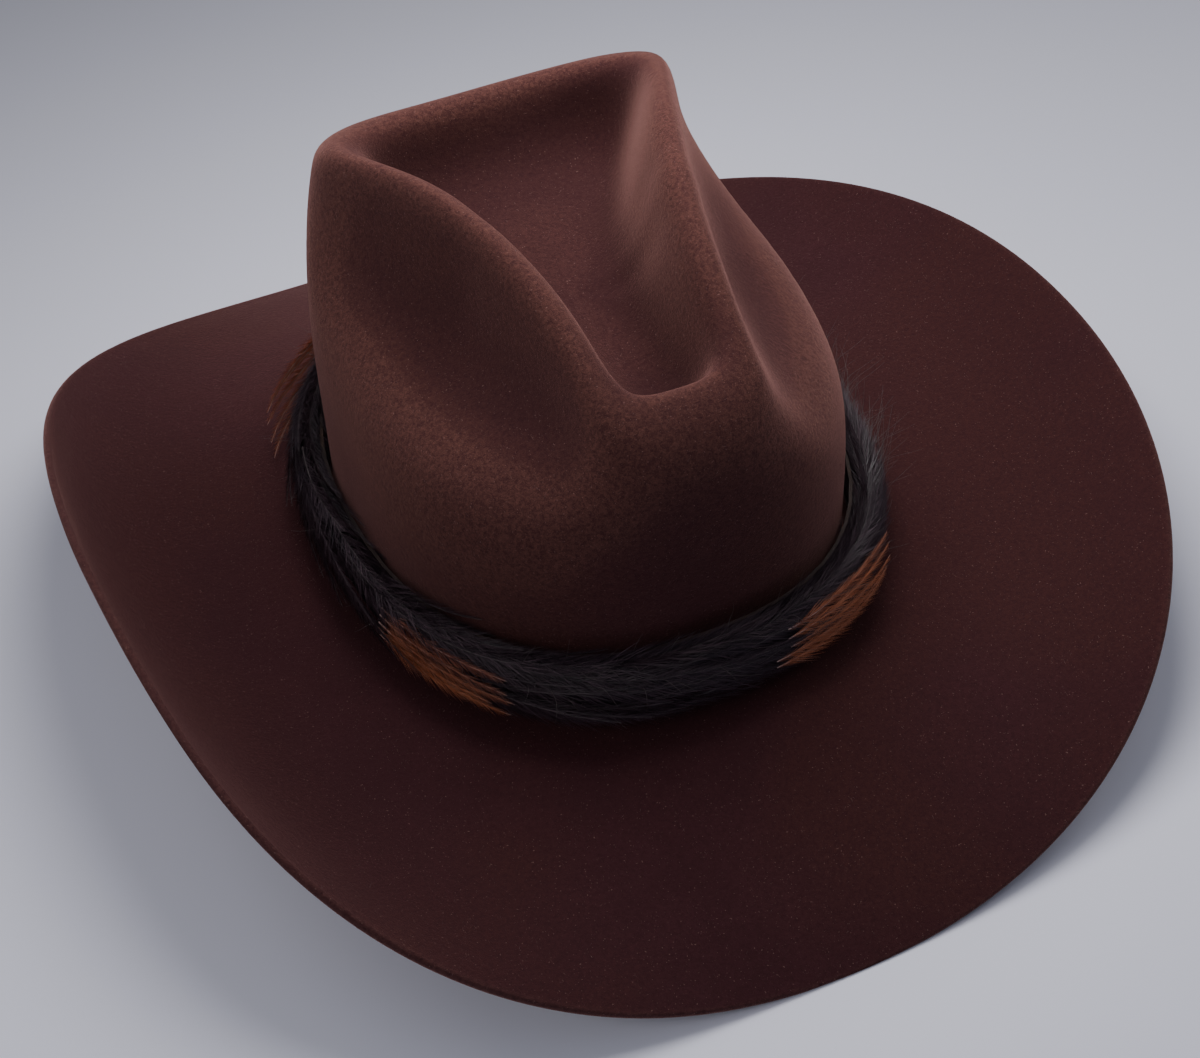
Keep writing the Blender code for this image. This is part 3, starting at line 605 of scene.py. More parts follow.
def felt_paint(look):
    """Blocked fur felt: matted fibre, uneven dye, stray pale hairs, a lighter nap on the worn ridges that is
    partly painted highlight, painted light on the upper crown, and painted shade in the hollows.
    """
    paint = Paint("brown_fur_felt", {
        "Roughness": 0.92, "Specular IOR Level": 0.12, "Sheen Weight": 0.62, "Sheen Roughness": 0.36,
        "Sheen Tint": rgba(look.sheen_colour),
    })
    fibre = paint.noise(2600.0, detail=3.0, roughness=0.7)
    clump = paint.noise(700.0, detail=4.0, roughness=0.65, distortion=0.6)
    cloud = paint.noise(46.0, detail=4.0, roughness=0.6)
    dye = paint.noise(11.0, detail=2.0)
    strands = paint.noise(900.0, detail=2.0, stretch=(1.0, 0.25, 1.0), distortion=2.5)
    ridge = paint.attribute("ridge")
    darker, lighter = rgba(look.felt_colour, 0.88), rgba(look.felt_colour, 1.12)
    colour = paint.mix(paint.between(cloud, 0.25, 0.75), darker, lighter)
    colour = paint.mix(paint.between(dye, 0.35, 0.65), colour, rgba(look.felt_warm_colour))
    # Painted light: the upper crown is mixed towards the worn, lit felt colour by height, standing in for the
    # nearer top light and the nap's sheen.
    level = paint.node("ShaderNodeSeparateXYZ", values={0: paint.place}, output=2)
    colour = paint.mix(paint.between(level, 0.060, 0.150) * 0.55, colour, rgba(look.felt_wear_and_light_colour, 0.75))
    # The raised creases take the worn, lit felt colour: real wear with a painted highlight on it. The hollows
    # are darkened: painted shade.
    colour = paint.mix(paint.between(ridge, 0.0, 1.0) * 0.75, colour, rgba(look.felt_wear_and_light_colour))
    colour = paint.mix(paint.between(ridge * -1.0, 0.0, 1.0) * 0.45, colour, rgba(look.felt_colour, 0.6))
    colour = paint.mix(paint.attribute("edge") * 0.65, colour, rgba(look.edge_colour))
    grain = paint.between(clump, 0.3, 0.7) * 0.55 + paint.between(fibre, 0.3, 0.7) * 0.45
    colour = paint.mix(1.0 - grain, colour, rgba(look.felt_colour, 0.62))
    hairs = paint.between(strands, 0.70, 0.80) * 0.35
    colour = paint.mix(hairs, colour, rgba(look.hair_colour))
    specks = paint.between(paint.noise(1900.0, detail=0.0), 0.78, 0.83) * 0.5
    paint.set("Base Color", paint.mix(specks, colour, rgba(look.hair_colour, 1.3)))
    paint.bump(fibre * 0.5 + clump * 0.8 + strands * 0.3, 0.55, 0.0006)
    return paint.material


def nap_paint(look):
    """The single hairs that stand off the felt."""
    paint = Paint("felt_hairs", {"Roughness": 0.8, "Specular IOR Level": 0.3, "Sheen Weight": 0.3})
    tone = paint.attribute("tone")
    paint.set("Base Color", paint.mix(tone ** 2.0, rgba(look.felt_colour, 1.5), rgba(look.hair_colour, 1.2)))
    return paint.material


def feather_paint(name, root, tip, glint, roughness=0.42):
    """Feather barbs, each a little different, paler along their outer ends, with a painted glint on random
    barbs and in streaks.
    """
    paint = Paint(name, {
        "Specular IOR Level": 0.36, "Sheen Weight": 0.10, "Sheen Roughness": 0.4, "Sheen Tint": rgba(glint),
    })
    tone, reach = paint.attribute("tone"), paint.attribute("reach")
    streak = paint.noise(420.0, detail=3.0, stretch=(1.0, 1.0, 0.3))
    colour = paint.mix(reach, rgba(root), rgba(tip))
    # Painted glint: random barbs and stretched streaks take the glint colour, as if they caught the light.
    colour = paint.mix(tone ** 3.0 * 0.7, colour, rgba(glint))
    colour = paint.mix(paint.between(streak, 0.55, 0.8) * 0.4, colour, rgba(glint, 0.7))
    paint.set("Base Color", colour)
    paint.set("Roughness", paint.between(tone, 0.0, 1.0) * 0.25 + roughness)
    return paint.material


def quill_paint(name, colour):
    """The horny shaft of a feather, clouded along its length."""
    paint = Paint(name, {"Specular IOR Level": 0.5})
    cloud = paint.noise(160.0, detail=3.0)
    paint.set("Base Color", paint.mix(paint.between(cloud, 0.3, 0.7), rgba(colour, 0.55), rgba(colour)))
    paint.set("Roughness", cloud * 0.25 + 0.3)
    return paint.material


def leather_paint(name, colour, worn, grain_scale=900.0, roughness=0.5):
    """Leather: pebbled grain, darker creases and paler wear where it is rubbed."""
    paint = Paint(name, {"Specular IOR Level": 0.45})
    cells = paint.node("ShaderNodeTexVoronoi", {"feature": "DISTANCE_TO_EDGE"}, {
        "Vector": paint.place, "Scale": grain_scale, "Randomness": 1.0,
    })
    pebble = paint.between(cells, 0.0, 0.22)
    cloud = paint.noise(60.0, detail=4.0)
    pores = paint.noise(1800.0, detail=2.0)
    body = paint.mix(paint.between(cloud, 0.3, 0.7), rgba(colour, 0.75), rgba(colour))
    body = paint.mix(paint.between(cloud, 0.62, 0.8) * 0.6, body, rgba(worn))
    paint.set("Base Color", paint.mix((1.0 - pebble) * 0.5, body, rgba(colour, 0.4)))
    paint.set("Roughness", pebble * -0.12 + pores * 0.15 + roughness)
    paint.bump(pebble * 0.7 + pores * 0.3, 0.5, 0.0003)
    return paint.material


def woven_paint(name, colour, thread=0.0004, roughness=0.55, sheen=0.2):
    """Plain woven tape or satin: two sets of threads in bump, with slubs that catch the light."""
    paint = Paint(name, {"Specular IOR Level": 0.5, "Sheen Weight": sheen, "Sheen Tint": rgba(colour, 2.0)})
    wave = {"wave_type": "BANDS", "bands_direction": "Z", "wave_profile": "SIN"}
    place = {"Vector": paint.place}
    across = paint.node("ShaderNodeTexWave", wave, {**place, "Scale": 0.05 / thread, "Distortion": 0.4})
    wave["bands_direction"] = "DIAGONAL"
    along = paint.node("ShaderNodeTexWave", wave, {**place, "Scale": 0.035 / thread, "Distortion": 0.6})
    slub = paint.noise(240.0, detail=3.0, stretch=(1.0, 1.0, 4.0))
    body = paint.mix(paint.between(slub, 0.3, 0.7), rgba(colour, 0.7), rgba(colour, 1.15))
    paint.set("Base Color", paint.mix(across * 0.35, body, rgba(colour, 0.5)))
    paint.set("Roughness", slub * 0.2 + (roughness - 0.1))
    paint.bump(across * 0.6 + along * 0.4, 0.35, thread * 0.4)
    return paint.material


class Shape(Graph):
    """A Geometry Nodes tree whose inputs are named, and which ends in one geometry."""

    def __init__(self, name, inputs):
        super().__init__(bpy.data.node_groups.new(name, "GeometryNodeTree"))
        self.tree.interface.new_socket("Geometry", in_out="INPUT", socket_type="NodeSocketGeometry")
        self.tree.interface.new_socket("Geometry", in_out="OUTPUT", socket_type="NodeSocketGeometry")
        self.identifiers = {}
        for label, kind, value in inputs:
            socket = self.tree.interface.new_socket(label, in_out="INPUT", socket_type="NodeSocket" + kind)
            if value is not None:
                socket.default_value = value
            self.identifiers[label] = socket.identifier
        self.source = self.tree.nodes.new("NodeGroupInput")

    def given(self, label):
        return self.source.outputs[label]

    def attribute(self, name, kind="FLOAT"):
        return self.node("GeometryNodeInputNamedAttribute", {"data_type": kind}, {"Name": name})

    def vary(self, low, high, salt):
        """A random number between two for each element."""
        seed = self.node("ShaderNodeMath", values={0: self.given("Seed"), 1: float(salt)})
        values = {2: low, 3: high, "Seed": seed}
        return self.node("FunctionNodeRandomValue", {"data_type": "FLOAT"}, values, output=1)

    def vector(self, operation, first, second):
        """Vector Math. SCALE takes its number in a socket of its own."""
        values = {0: first, "Scale" if operation == "SCALE" else 1: second}
        return self.node("ShaderNodeVectorMath", {"operation": operation}, values)

    def store(self, geometry, name, value, kind="FLOAT", domain="POINT"):
        settings = {"data_type": kind, "domain": domain}
        values = {"Geometry": geometry, "Name": name, "Value": value}
        return self.node("GeometryNodeStoreNamedAttribute", settings, values)

    def painted(self, geometry, material):
        values = {"Geometry": geometry, "Material": self.given(material)}
        return self.node("GeometryNodeSetMaterial", values=values)

    def join(self, *parts):
        joined = self.tree.nodes.new("GeometryNodeJoinGeometry")
        for part in parts:
            self.tree.links.new(part.socket, joined.inputs[0])
        return Value(self, joined.outputs[0])

    def finish(self, geometry):
        end = self.tree.nodes.new("NodeGroupOutput")
        self.feed(end.inputs[0], geometry)

    def grow(self, piece, values):
        """Runs the tree on a piece and leaves it as a plain mesh."""
        modifier = piece.modifiers.new(self.tree.name, "NODES")
        modifier.node_group = self.tree
        for label, value in values.items():
            modifier[self.identifiers[label]] = value
        graph = bpy.context.evaluated_depsgraph_get()
        mesh = bpy.data.meshes.new_from_object(piece.evaluated_get(graph), depsgraph=graph)
        piece.modifiers.remove(modifier)
        piece.data = mesh
        mesh.name = piece.name
        return piece


# ---------------------------------------------------------------------------------------------------------
# What a user would change


def length_input(name, description, default):
    return FloatProperty(name=name, description=description, default=default, min=0.0, unit="LENGTH",
                         precision=5)


def turn_input(name, description, degrees):
    return FloatProperty(name=name, description=description, default=math.radians(degrees), subtype="ANGLE")


def count_input(name, description, default):
    return IntProperty(name=name, description=description, default=default, min=1)


def colour_input(name, description, default):
    return FloatVectorProperty(name=name, description=description, default=default, size=3, min=0.0, max=1.0,
                               subtype="COLOR")


class HatFeltLook(bpy.types.PropertyGroup):
    felt_colour: colour_input("Felt", "The dyed felt", (0.0500, 0.0148, 0.0185))
    felt_warm_colour: colour_input("Warm felt", "Where the dye took more warmly", (0.0570, 0.0178, 0.0165))
    # Worn nap on the creases with a painted highlight, and the painted light on the upper crown.
    felt_wear_and_light_colour: colour_input("Worn felt", "The lighter nap along the creases", (0.130, 0.053, 0.041))
    edge_colour: colour_input("Cut edge", "The raw edge of the brim", (0.095, 0.040, 0.036))
    hair_colour: colour_input("Stray hair", "The palest hairs in the felt", (0.190, 0.110, 0.095))
    sheen_colour: colour_input("Sheen", "The nap's glow at a low angle", (0.62, 0.31, 0.27))
    crown_hairs: count_input("Crown hairs", "Hairs that stand off the crown", 44000)
    brim_hairs: count_input("Brim hairs", "Hairs that stand off the brim", 46000)
    hair_length: length_input("Hair length", "Length of a hair that stands off the felt", 0.0011)


class HatFeatherLook(bpy.types.PropertyGroup):
    hackle_root: colour_input("Hackle root", "The dark hackles near their shafts", (0.0080, 0.0045, 0.0075))
    hackle_tip: colour_input("Hackle tip", "The dark hackles at their outer ends", (0.024, 0.0115, 0.019))
    # Painted glint given to random dark barbs and streaks.
    hackle_glint: colour_input("Hackle glint", "The palest barbs among the dark ones", (0.118, 0.072, 0.094))
    rust_colour: colour_input("Rust", "The red-brown side of an accent feather", (0.150, 0.034, 0.022))
    orange_colour: colour_input("Orange", "The orange side of an accent feather", (0.46, 0.135, 0.050))
    # Painted glint given to random accent barbs.
    accent_glint: colour_input("Accent glint", "The palest barbs of an accent feather", (0.50, 0.26, 0.18))
    quill_colour: colour_input("Dark quill", "Shafts of the hackles", (0.085, 0.066, 0.066))
    pale_quill_colour: colour_input("Pale quill", "Shafts of the accent feathers", (0.62, 0.42, 0.38))
    feathers_each: count_input("Feathers", "Hackles in one bunch", 15)
    feather_length: length_input("Hackle length", "Length of one hackle", 0.078)
    accent_length: length_input("Accent length", "Length of one accent feather", 0.060)
    barb_length: length_input("Barb length", "The longest barbs of a hackle", 0.0150)
    barb_spacing: length_input("Barb spacing", "Distance between barbs along a shaft", 0.00045)
    barb_sweep: turn_input("Barb sweep", "Angle between a barb and its shaft", 27.0)
    wisps_each: count_input("Wisps", "Loose curling barbs on a bunch", 34)
    wisp_length: length_input("Wisp length", "Length of a loose curling barb", 0.0150)


class HatLeatherLook(bpy.types.PropertyGroup):
    band_colour: colour_input("Band leather", "The feathers' strip and its ties", (0.050, 0.027, 0.021))
    sweatband_colour: colour_input("Sweatband", "The leather inside the crown", (0.185, 0.088, 0.045))
    worn_colour: colour_input("Worn leather", "Where the leather has rubbed paler", (0.26, 0.145, 0.085))
    thread_colour: colour_input("Thread", "Sewing thread", (0.20, 0.12, 0.075))
    stitch_length: length_input("Stitch length", "Length of one visible stitch", 0.0024)
    stitch_spacing: length_input("Stitch spacing", "Distance from one stitch to the next", 0.0032)


class HatLiningLook(bpy.types.PropertyGroup):
    satin_colour: colour_input("Satin", "The lining", (0.20, 0.105, 0.058))
    piping_colour: colour_input("Piping", "The cord round the lining's seam", (0.12, 0.064, 0.040))
    tape_colour: colour_input("Tape", "The woven tapes behind the sweatband", (0.085, 0.048, 0.036))
    pleats: count_input("Pleats", "Gathers round the lining's wall", 46)
    pleat_depth: length_input("Pleat depth", "How far one gather stands off", 0.0005)


class HatStageLook(bpy.types.PropertyGroup):
    azimuth: turn_input("Azimuth", "Where the camera stands round the hat", -23.86)
    elevation: turn_input("Elevation", "How far the camera looks down", 43.42)
    roll: turn_input("Roll", "How far the camera tilts", -2.75)
    distance: length_input("Distance", "From the camera to the point it looks at", 0.912)
    lens: FloatProperty(name="Lens", description="Focal length in millimetres", default=75.4, min=10.0)
    floor_colour: colour_input("Floor", "The pale surface under the hat", (0.60, 0.61, 0.70))
    top_power: FloatProperty(name="Top light", description="Power of the light close above", default=2.0)
    back_power: FloatProperty(name="Back light", description="Power of the light behind", default=3.0)
    left_power: FloatProperty(name="Left light", description="Power of the light at the left", default=5.0)
    right_power: FloatProperty(name="Right light", description="Power of the light at the right", default=3.3)


# ---------------------------------------------------------------------------------------------------------
# Felt


def felt_angles():
    turns = np.linspace(-math.pi, math.pi, FELT_AROUND, endpoint=False)
    return turns - FRONT_CROWDING * np.sin(turns)


def felt_surface():
    """The felt's outer face at its full detail, eased by hand and steam, in the frame."""
    grid = felt_grid(felt_angles(), FELT_ROWS, FELT_FILLET_ROWS, FELT_STEP)
    eased = relax(grid, RELAX_ROUNDS, kept_rows=1)
    angle, height = np.arctan2(eased[..., 0], -eased[..., 1]), eased[..., 2]
    waves = np.sin(3.0 * angle + 21.0 * height + 0.6) + 0.7 * np.sin(5.0 * angle - 33.0 * height + 2.1)
    waves += 0.5 * np.sin(8.0 * angle + 47.0 * height + 4.0)
    reach = np.hypot(eased[..., 0], eased[..., 1])
    ease = np.clip((reach - 0.125) / 0.04, 0.0, 1.0) + np.clip((height - 0.035) / 0.03, 0.0, 1.0)
    ease *= np.clip(reach / 0.03, 0.0, 1.0) * np.clip(1.0 - np.abs(np.cos(angle)) * (reach > 0.14), 0.0, 1.0)
    return eased + grid_normals(eased) * (waves * ease * 0.00035)[..., None] + PLACE


def ridge_values(grid):
    """How far each point stands above the felt around it: positive on creases, negative in hollows."""
    smooth = relax(grid, rounds=60)
    stand = ((grid - smooth) * grid_normals(grid)).sum(axis=-1)
    return np.clip(stand / 0.0011, -1.0, 1.0)


def make_felt_hat(look):
    """One shell of felt: the outer face, the brim's raw edge with its softened corners, and the inside."""
    outer = felt_surface()
    normals = grid_normals(outer)
    inner = outer - normals * FELT
    rows, columns = outer.shape[:2]
    inward = outer[1] - outer[0]
    inward /= np.linalg.norm(inward, axis=1, keepdims=True)
    edge = []
    for depth, back in ((0.0, 1.0), (0.22, 0.25), (0.5, 0.0), (0.78, 0.25), (1.0, 1.0)):
        edge.append(outer[0] - normals[0] * FELT * depth + inward * (back * EDGE_CORNER))
    outer_first = outer[0] + inward * EDGE_CORNER * 2.2
    inner_first = inner[0] + inward * EDGE_CORNER * 2.2
    loops = [*outer[-2:0:-1], outer_first, *edge, inner_first, *inner[1:-1]]
    strip = np.array(loops)
    strip[..., 2] = np.maximum(strip[..., 2], 0.0)
    points = np.concatenate([strip.reshape(-1, 3), outer[-1, :1], inner[-1, :1]])
    faces = loft_faces(len(loops), columns)
    top, bottom = len(points) - 2, len(points) - 1
    last = (len(loops) - 1) * columns
    for j in range(columns):
        turn = (j + 1) % columns
        faces += [(top, turn, j), (bottom, last + j, last + turn)]
    piece = add_piece("felt_hat", points, faces, [felt_paint(look)])
    ridge = ridge_values(outer)
    outside = [ridge[i] for i in range(rows - 2, -1, -1)]
    inside = [np.zeros(columns)] * (len(loops) - len(outside))
    set_attribute(piece.data, "ridge", "FLOAT", [*np.concatenate(outside + inside), 0.0, 0.0])
    rim = np.zeros((len(loops), columns))
    rim[rows - 1 : rows + 4] = 1.0
    rim[rows - 2] = rim[rows + 4] = 0.35
    set_attribute(piece.data, "edge", "FLOAT", [*rim.ravel(), 0.0, 0.0])
    face_outwards(piece)
    return finish_piece(piece, "root", "felt", "felt_body")


def nap_tree():
    """Short tapered hairs scattered over a surface, each leaning its own way."""
    shape = Shape("stray_hairs", [
        ("Density", "Float", 1.0), ("Length", "Float", 0.001), ("Seed", "Int", 7), ("Hair", "Material", None),
    ])
    scatter = shape.tree.nodes.new("GeometryNodeDistributePointsOnFaces")
    shape.feed(scatter.inputs["Mesh"], shape.given("Geometry"))
    shape.feed(scatter.inputs["Density"], shape.given("Density"))
    shape.feed(scatter.inputs["Seed"], shape.given("Seed"))
    points = shape.store(Value(shape, scatter.outputs["Points"]), "tone", shape.vary(0.0, 1.0, 1))
    seed = shape.node("ShaderNodeMath", values={0: shape.given("Seed"), 1: 2.0})
    lean = shape.node("FunctionNodeRandomValue", {"data_type": "FLOAT_VECTOR"},
                      {0: (-1.0, -1.0, -1.0), 1: (1.0, 1.0, 1.0), "Seed": seed})
    normal = Value(shape, scatter.outputs["Normal"])
    heading = shape.vector("ADD", lean, shape.vector("SCALE", normal, 0.95))
    turn = shape.node("FunctionNodeAlignRotationToVector", {"axis": "Z"}, {"Vector": heading})
    hair = shape.node("GeometryNodeMeshCone", {"fill_type": "NGON"}, {
        "Vertices": 3, "Side Segments": 1, "Radius Top": 0.0, "Radius Bottom": 0.032, "Depth": 1.0,
    })
    size = shape.vary(0.45, 1.4, 3) * shape.given("Length")
    placed = shape.node("GeometryNodeInstanceOnPoints", values={
        "Points": points, "Instance": hair, "Rotation": turn, "Scale": size,
    })
    real = shape.node("GeometryNodeRealizeInstances", values={"Geometry": placed})
    shape.finish(shape.painted(real, "Hair"))
    return shape


def make_nap(look):
    """Hairs on the crown and on the brim, as two pieces."""
    surface = felt_surface()
    tree, material = nap_tree(), nap_paint(look)
    foot = FELT_ROWS[0] + FELT_FILLET_ROWS + 4
    patches = {
        "nap_crown": (surface[foot:-2], look.crown_hairs),
        "nap_brim": (surface[:foot], look.brim_hairs),
    }
    for name, (rows, count) in patches.items():
        points = rows.reshape(-1, 3)
        faces = loft_faces(len(rows), FELT_AROUND)
        piece = add_piece(name, points, [face[::-1] for face in faces])
        area = sum(face.area for face in piece.data.polygons)
        values = {"Density": count / area, "Length": look.hair_length, "Seed": len(name), "Hair": material}
        tree.grow(piece, values)
        finish_piece(piece, "root", "felt")


# ---------------------------------------------------------------------------------------------------------
# Feathers


def band_place(angle, offset, height):
    """Points round the crown's foot that keep their distance from the oval at the band's middle height."""
    point = ring_point(angle, BUNDLE_HEIGHT, offset)
    point[..., 2] = height
    return point + PLACE


def bunch_point(angle, turn, proud):
    """Points on the rounded section of the feather bunches, and the way out of it there.

    The turn is 0 at the outside of the band and a quarter turn at its top.
    """
    offset = BUNDLE_OFFSET + (BUNDLE_HALF_THICKNESS + proud) * np.cos(turn)
    height = BUNDLE_HEIGHT + (BUNDLE_HALF_HEIGHT + proud) * np.sin(turn)
    point = band_place(angle, offset, height)
    out = band_place(angle, offset + 0.001, height) - point
    out /= np.linalg.norm(out, axis=-1, keepdims=True)
    normal = out * (np.cos(turn) / BUNDLE_HALF_THICKNESS)[..., None]
    normal[..., 2] += np.sin(turn) / BUNDLE_HALF_HEIGHT
    return point, normal / np.linalg.norm(normal, axis=-1, keepdims=True)


class BandRuler:
    """Turns distances along the band into angles round the crown and back."""

    def __init__(self):
        self.angles = np.linspace(-math.pi, math.pi, 721)
        line = band_place(self.angles, BUNDLE_OFFSET, BUNDLE_HEIGHT)
        steps = np.linalg.norm(np.diff(line, axis=0), axis=1)
        self.lengths = np.concatenate([[0.0], np.cumsum(steps)])

    def angle(self, length):
        return np.interp(length, self.lengths, self.angles)

    def length(self, angle):
        return float(np.interp(angle, self.angles, self.lengths))


class Plumage:
    """Collects feather shafts as lines of points with what the feather tree reads at each of them."""

    def __init__(self, ruler, seed):
        self.ruler = ruler
        self.random = np.random.default_rng(seed)
        self.points, self.edges = [], []
        self.fields = {"vane": [], "barb": [], "quill": [], "warm": [], "shaft": []}

    def add(self, points, vane, barb, quill, warm=0.0):
        first = len(self.points)
        count = len(points)
        self.points += list(points)
        self.edges += [(first + i, first + i + 1) for i in range(count - 1)]
        for name, values in (("barb", barb), ("quill", quill), ("warm", warm), ("shaft", 1.0)):
            self.fields[name] += list(np.broadcast_to(values, (count,)))
        self.fields["vane"] += list(vane)

    def add_feather(self, start, length, turn, drift, proud, barb, quill, warm=0.0, count=28):
        """A feather laid along the band from a distance on the ruler, its tip lifting a little."""
        share = np.linspace(0.0, 1.0, count)
        angle = self.ruler.angle(start + length * share)
        sway = 0.05 * np.sin(share * 4.0 + start * 90.0)
        rise = proud[0] + (proud[1] - proud[0]) * share**2
        points, vane = bunch_point(angle, turn + drift * share + sway * share, rise)
        full = np.clip(share / 0.10, 0.25, 1.0) * (1.0 - share) ** 0.45
        self.add(points, vane, barb * full, quill * (1.0 - 0.85 * share), warm)

    def add_wisp(self, angle, turn, length, radius):
        """A loose barb that springs off the band and curls."""
        count = 9
        share = np.linspace(0.0, 1.0, count)[:, None]
        root, out = (value[0] for value in bunch_point(np.array([angle]), np.array([turn]), 0.0))
        ahead = bunch_point(np.array([angle + 0.01]), np.array([turn]), 0.0)[0][0] - root
        ahead /= np.linalg.norm(ahead)
        side = np.cross(out, ahead)
        along, sideways, curl = self.random.uniform((0.3, -0.7, -1.3), (1.1, 0.7, 1.5))
        heading = out * self.random.uniform(0.5, 1.0) + ahead * along + side * sideways
        heading[2] = abs(heading[2]) + 0.25
        heading /= np.linalg.norm(heading)
        bend = np.cross(heading, side) * curl + ahead * 0.3
        points = root + heading * share * length + bend * share**2 * length * 0.45
        points += side * np.sin(share * 5.0) * length * 0.06 * curl
        self.add(points, np.tile(out, (count, 1)), 0.0, radius * (1.0 - 0.75 * share[:, 0]))

    def piece(self, name, down=None):
        """An object of the shafts as loose edges, and the closed body of down under them if there is one."""
        points, faces = list(self.points), []
        if down is not None:
            base = len(points)
            points += list(down[0])
            faces = [tuple(base + k for k in face) for face in down[1]]
        piece = add_piece(name, points, faces, edges=self.edges)
        extra = len(points) - len(self.points)
        for label, values in self.fields.items():
            blank = [np.zeros(3)] * extra if label == "vane" else [0.0] * extra
            kind = "FLOAT_VECTOR" if label == "vane" else "FLOAT"
            set_attribute(piece.data, label, kind, np.array(values + blank, dtype=np.float32))
        return piece


def feather_tree():
    """Shafts become tapered quills, and rows of bent barbs stand along both sides of each."""
    shape = Shape("feathers", [
        ("Spacing", "Float", 0.0005), ("Sweep", "Float", 0.36), ("Seed", "Int", 1),
        ("Barb", "Material", None), ("Quill", "Material", None), ("Down", "Material", None),
    ])
    parts = shape.tree.nodes.new("GeometryNodeSeparateGeometry")
    parts.domain = "POINT"
    shape.feed(parts.inputs["Geometry"], shape.given("Geometry"))
    picked = shape.node("FunctionNodeCompare", {"data_type": "FLOAT", "operation": "GREATER_THAN"},
                        {0: shape.attribute("shaft"), 1: 0.5})
    shape.feed(parts.inputs["Selection"], picked)
    down = shape.painted(Value(shape, parts.outputs["Inverted"]), "Down")
    shafts = shape.node("GeometryNodeMeshToCurve", values={"Mesh": Value(shape, parts.outputs["Selection"])})
    quill = shape.attribute("quill")
    thick = shape.node("GeometryNodeSetCurveRadius", values={"Curve": shafts, "Radius": quill})
    ring = shape.node("GeometryNodeCurvePrimitiveCircle", values={"Resolution": 4, "Radius": 1.0})
    quills = shape.node("GeometryNodeCurveToMesh", values={
        "Curve": thick, "Profile Curve": ring, "Fill Caps": True, "Scale": quill,
    })
    quills = shape.painted(quills, "Quill")

    row = shape.tree.nodes.new("GeometryNodeCurveToPoints")
    row.mode = "LENGTH"
    shape.feed(row.inputs["Curve"], shafts)
    shape.feed(row.inputs["Length"], shape.given("Spacing"))
    tangent = Value(shape, row.outputs["Tangent"])
    pair = shape.tree.nodes.new("GeometryNodeDuplicateElements")
    pair.domain = "POINT"
    shape.feed(pair.inputs["Geometry"], Value(shape, row.outputs["Points"]))
    shape.feed(pair.inputs["Amount"], 2)
    side = Value(shape, pair.outputs["Duplicate Index"]) * 2.0 - 1.0
    points = shape.store(Value(shape, pair.outputs["Geometry"]), "tone", shape.vary(0.0, 1.0, 1))

    vane = shape.attribute("vane", "FLOAT_VECTOR")
    across = shape.vector("CROSS_PRODUCT", vane, tangent)
    sweep = shape.vary(0.45, 1.65, 2) * shape.given("Sweep")
    sine = shape.node("ShaderNodeMath", {"operation": "SINE"}, {0: sweep})
    lean = sine * side
    heading = shape.vector("ADD", tangent, shape.vector("SCALE", across, lean))
    heading = shape.vector("ADD", heading, shape.vector("SCALE", vane, shape.vary(-0.06, 0.36, 4)))
    turn = shape.node("FunctionNodeAlignRotationToVector", {"axis": "Z"}, {"Vector": heading})
    face = shape.vector("SCALE", vane, side)
    turn = shape.node("FunctionNodeAlignRotationToVector", {"axis": "X", "pivot_axis": "Z"},
                      {"Rotation": turn, "Vector": face})
    size = shape.attribute("barb") * shape.vary(0.62, 1.12, 3)
    kept = shape.node("FunctionNodeCompare", {"data_type": "FLOAT", "operation": "GREATER_THAN"},
                      {0: shape.attribute("barb"), 1: 0.0004})
    placed = shape.node("GeometryNodeInstanceOnPoints", values={
        "Points": points, "Selection": kept, "Instance": barb_template(shape),
        "Rotation": turn, "Scale": size,
    })
    barbs = shape.painted(shape.node("GeometryNodeRealizeInstances", values={"Geometry": placed}), "Barb")
    shape.finish(shape.join(down, quills, barbs))
    return shape


def barb_template(shape):
    """One barb of length 1 along Z: a flat tapered blade that bends towards +Y."""
    blade = shape.node("GeometryNodeMeshCone", {"fill_type": "NGON"}, {
        "Vertices": 3, "Side Segments": 2, "Radius Top": 0.0, "Radius Bottom": 0.016, "Depth": 1.0,
    })
    place = shape.node("GeometryNodeInputPosition")
    axes = shape.tree.nodes.new("ShaderNodeSeparateXYZ")
    shape.feed(axes.inputs[0], place)
    height = Value(shape, axes.outputs["Z"])
    blade = shape.store(blade, "reach", height)
    bent = height * height * 0.10 + Value(shape, axes.outputs["Y"])
    flat = Value(shape, axes.outputs["X"]) * 0.5
    target = shape.node("ShaderNodeCombineXYZ", values={0: flat, 1: bent, 2: height})
    return shape.node("GeometryNodeSetPosition", values={"Geometry": blade, "Position": target})


def down_body(start, end, random):
    """The matted lower barbs under the hackles: a closed roll, streaked along its length."""
    count, sides = 26, 22
    turns = np.linspace(0.0, 2.0 * math.pi, sides, endpoint=False)
    streak = random.uniform(-0.00035, 0.00035, sides)
    rings = []
    for share in np.linspace(0.0, 1.0, count):
        fullness = 0.93 - 0.10 * abs(2.0 * share - 1.0) ** 6
        swell = -0.0017 + streak + random.uniform(-0.00015, 0.00015, sides)
        offset = BUNDLE_OFFSET + (BUNDLE_HALF_THICKNESS * fullness + swell) * np.cos(turns)
        offset = np.maximum(offset, BACKING_OFFSET + BACKING + GAP)
        height = BUNDLE_HEIGHT + (BUNDLE_HALF_HEIGHT * fullness + swell) * np.sin(turns)
        rings.append(band_place(start + (end - start) * share, offset, height))
    walls = loft_faces(count, sides)
    ahead = rings[1][0] - rings[0][0]
    round_way = np.cross(rings[0][1] - rings[0][0], rings[0][2] - rings[0][0])
    if np.dot(round_way, ahead) < 0.0:
        walls = [face[::-1] for face in walls]
    caps = [tuple(range(sides))[::-1], tuple(range((count - 1) * sides, count * sides))]
    return np.concatenate(rings), walls + caps


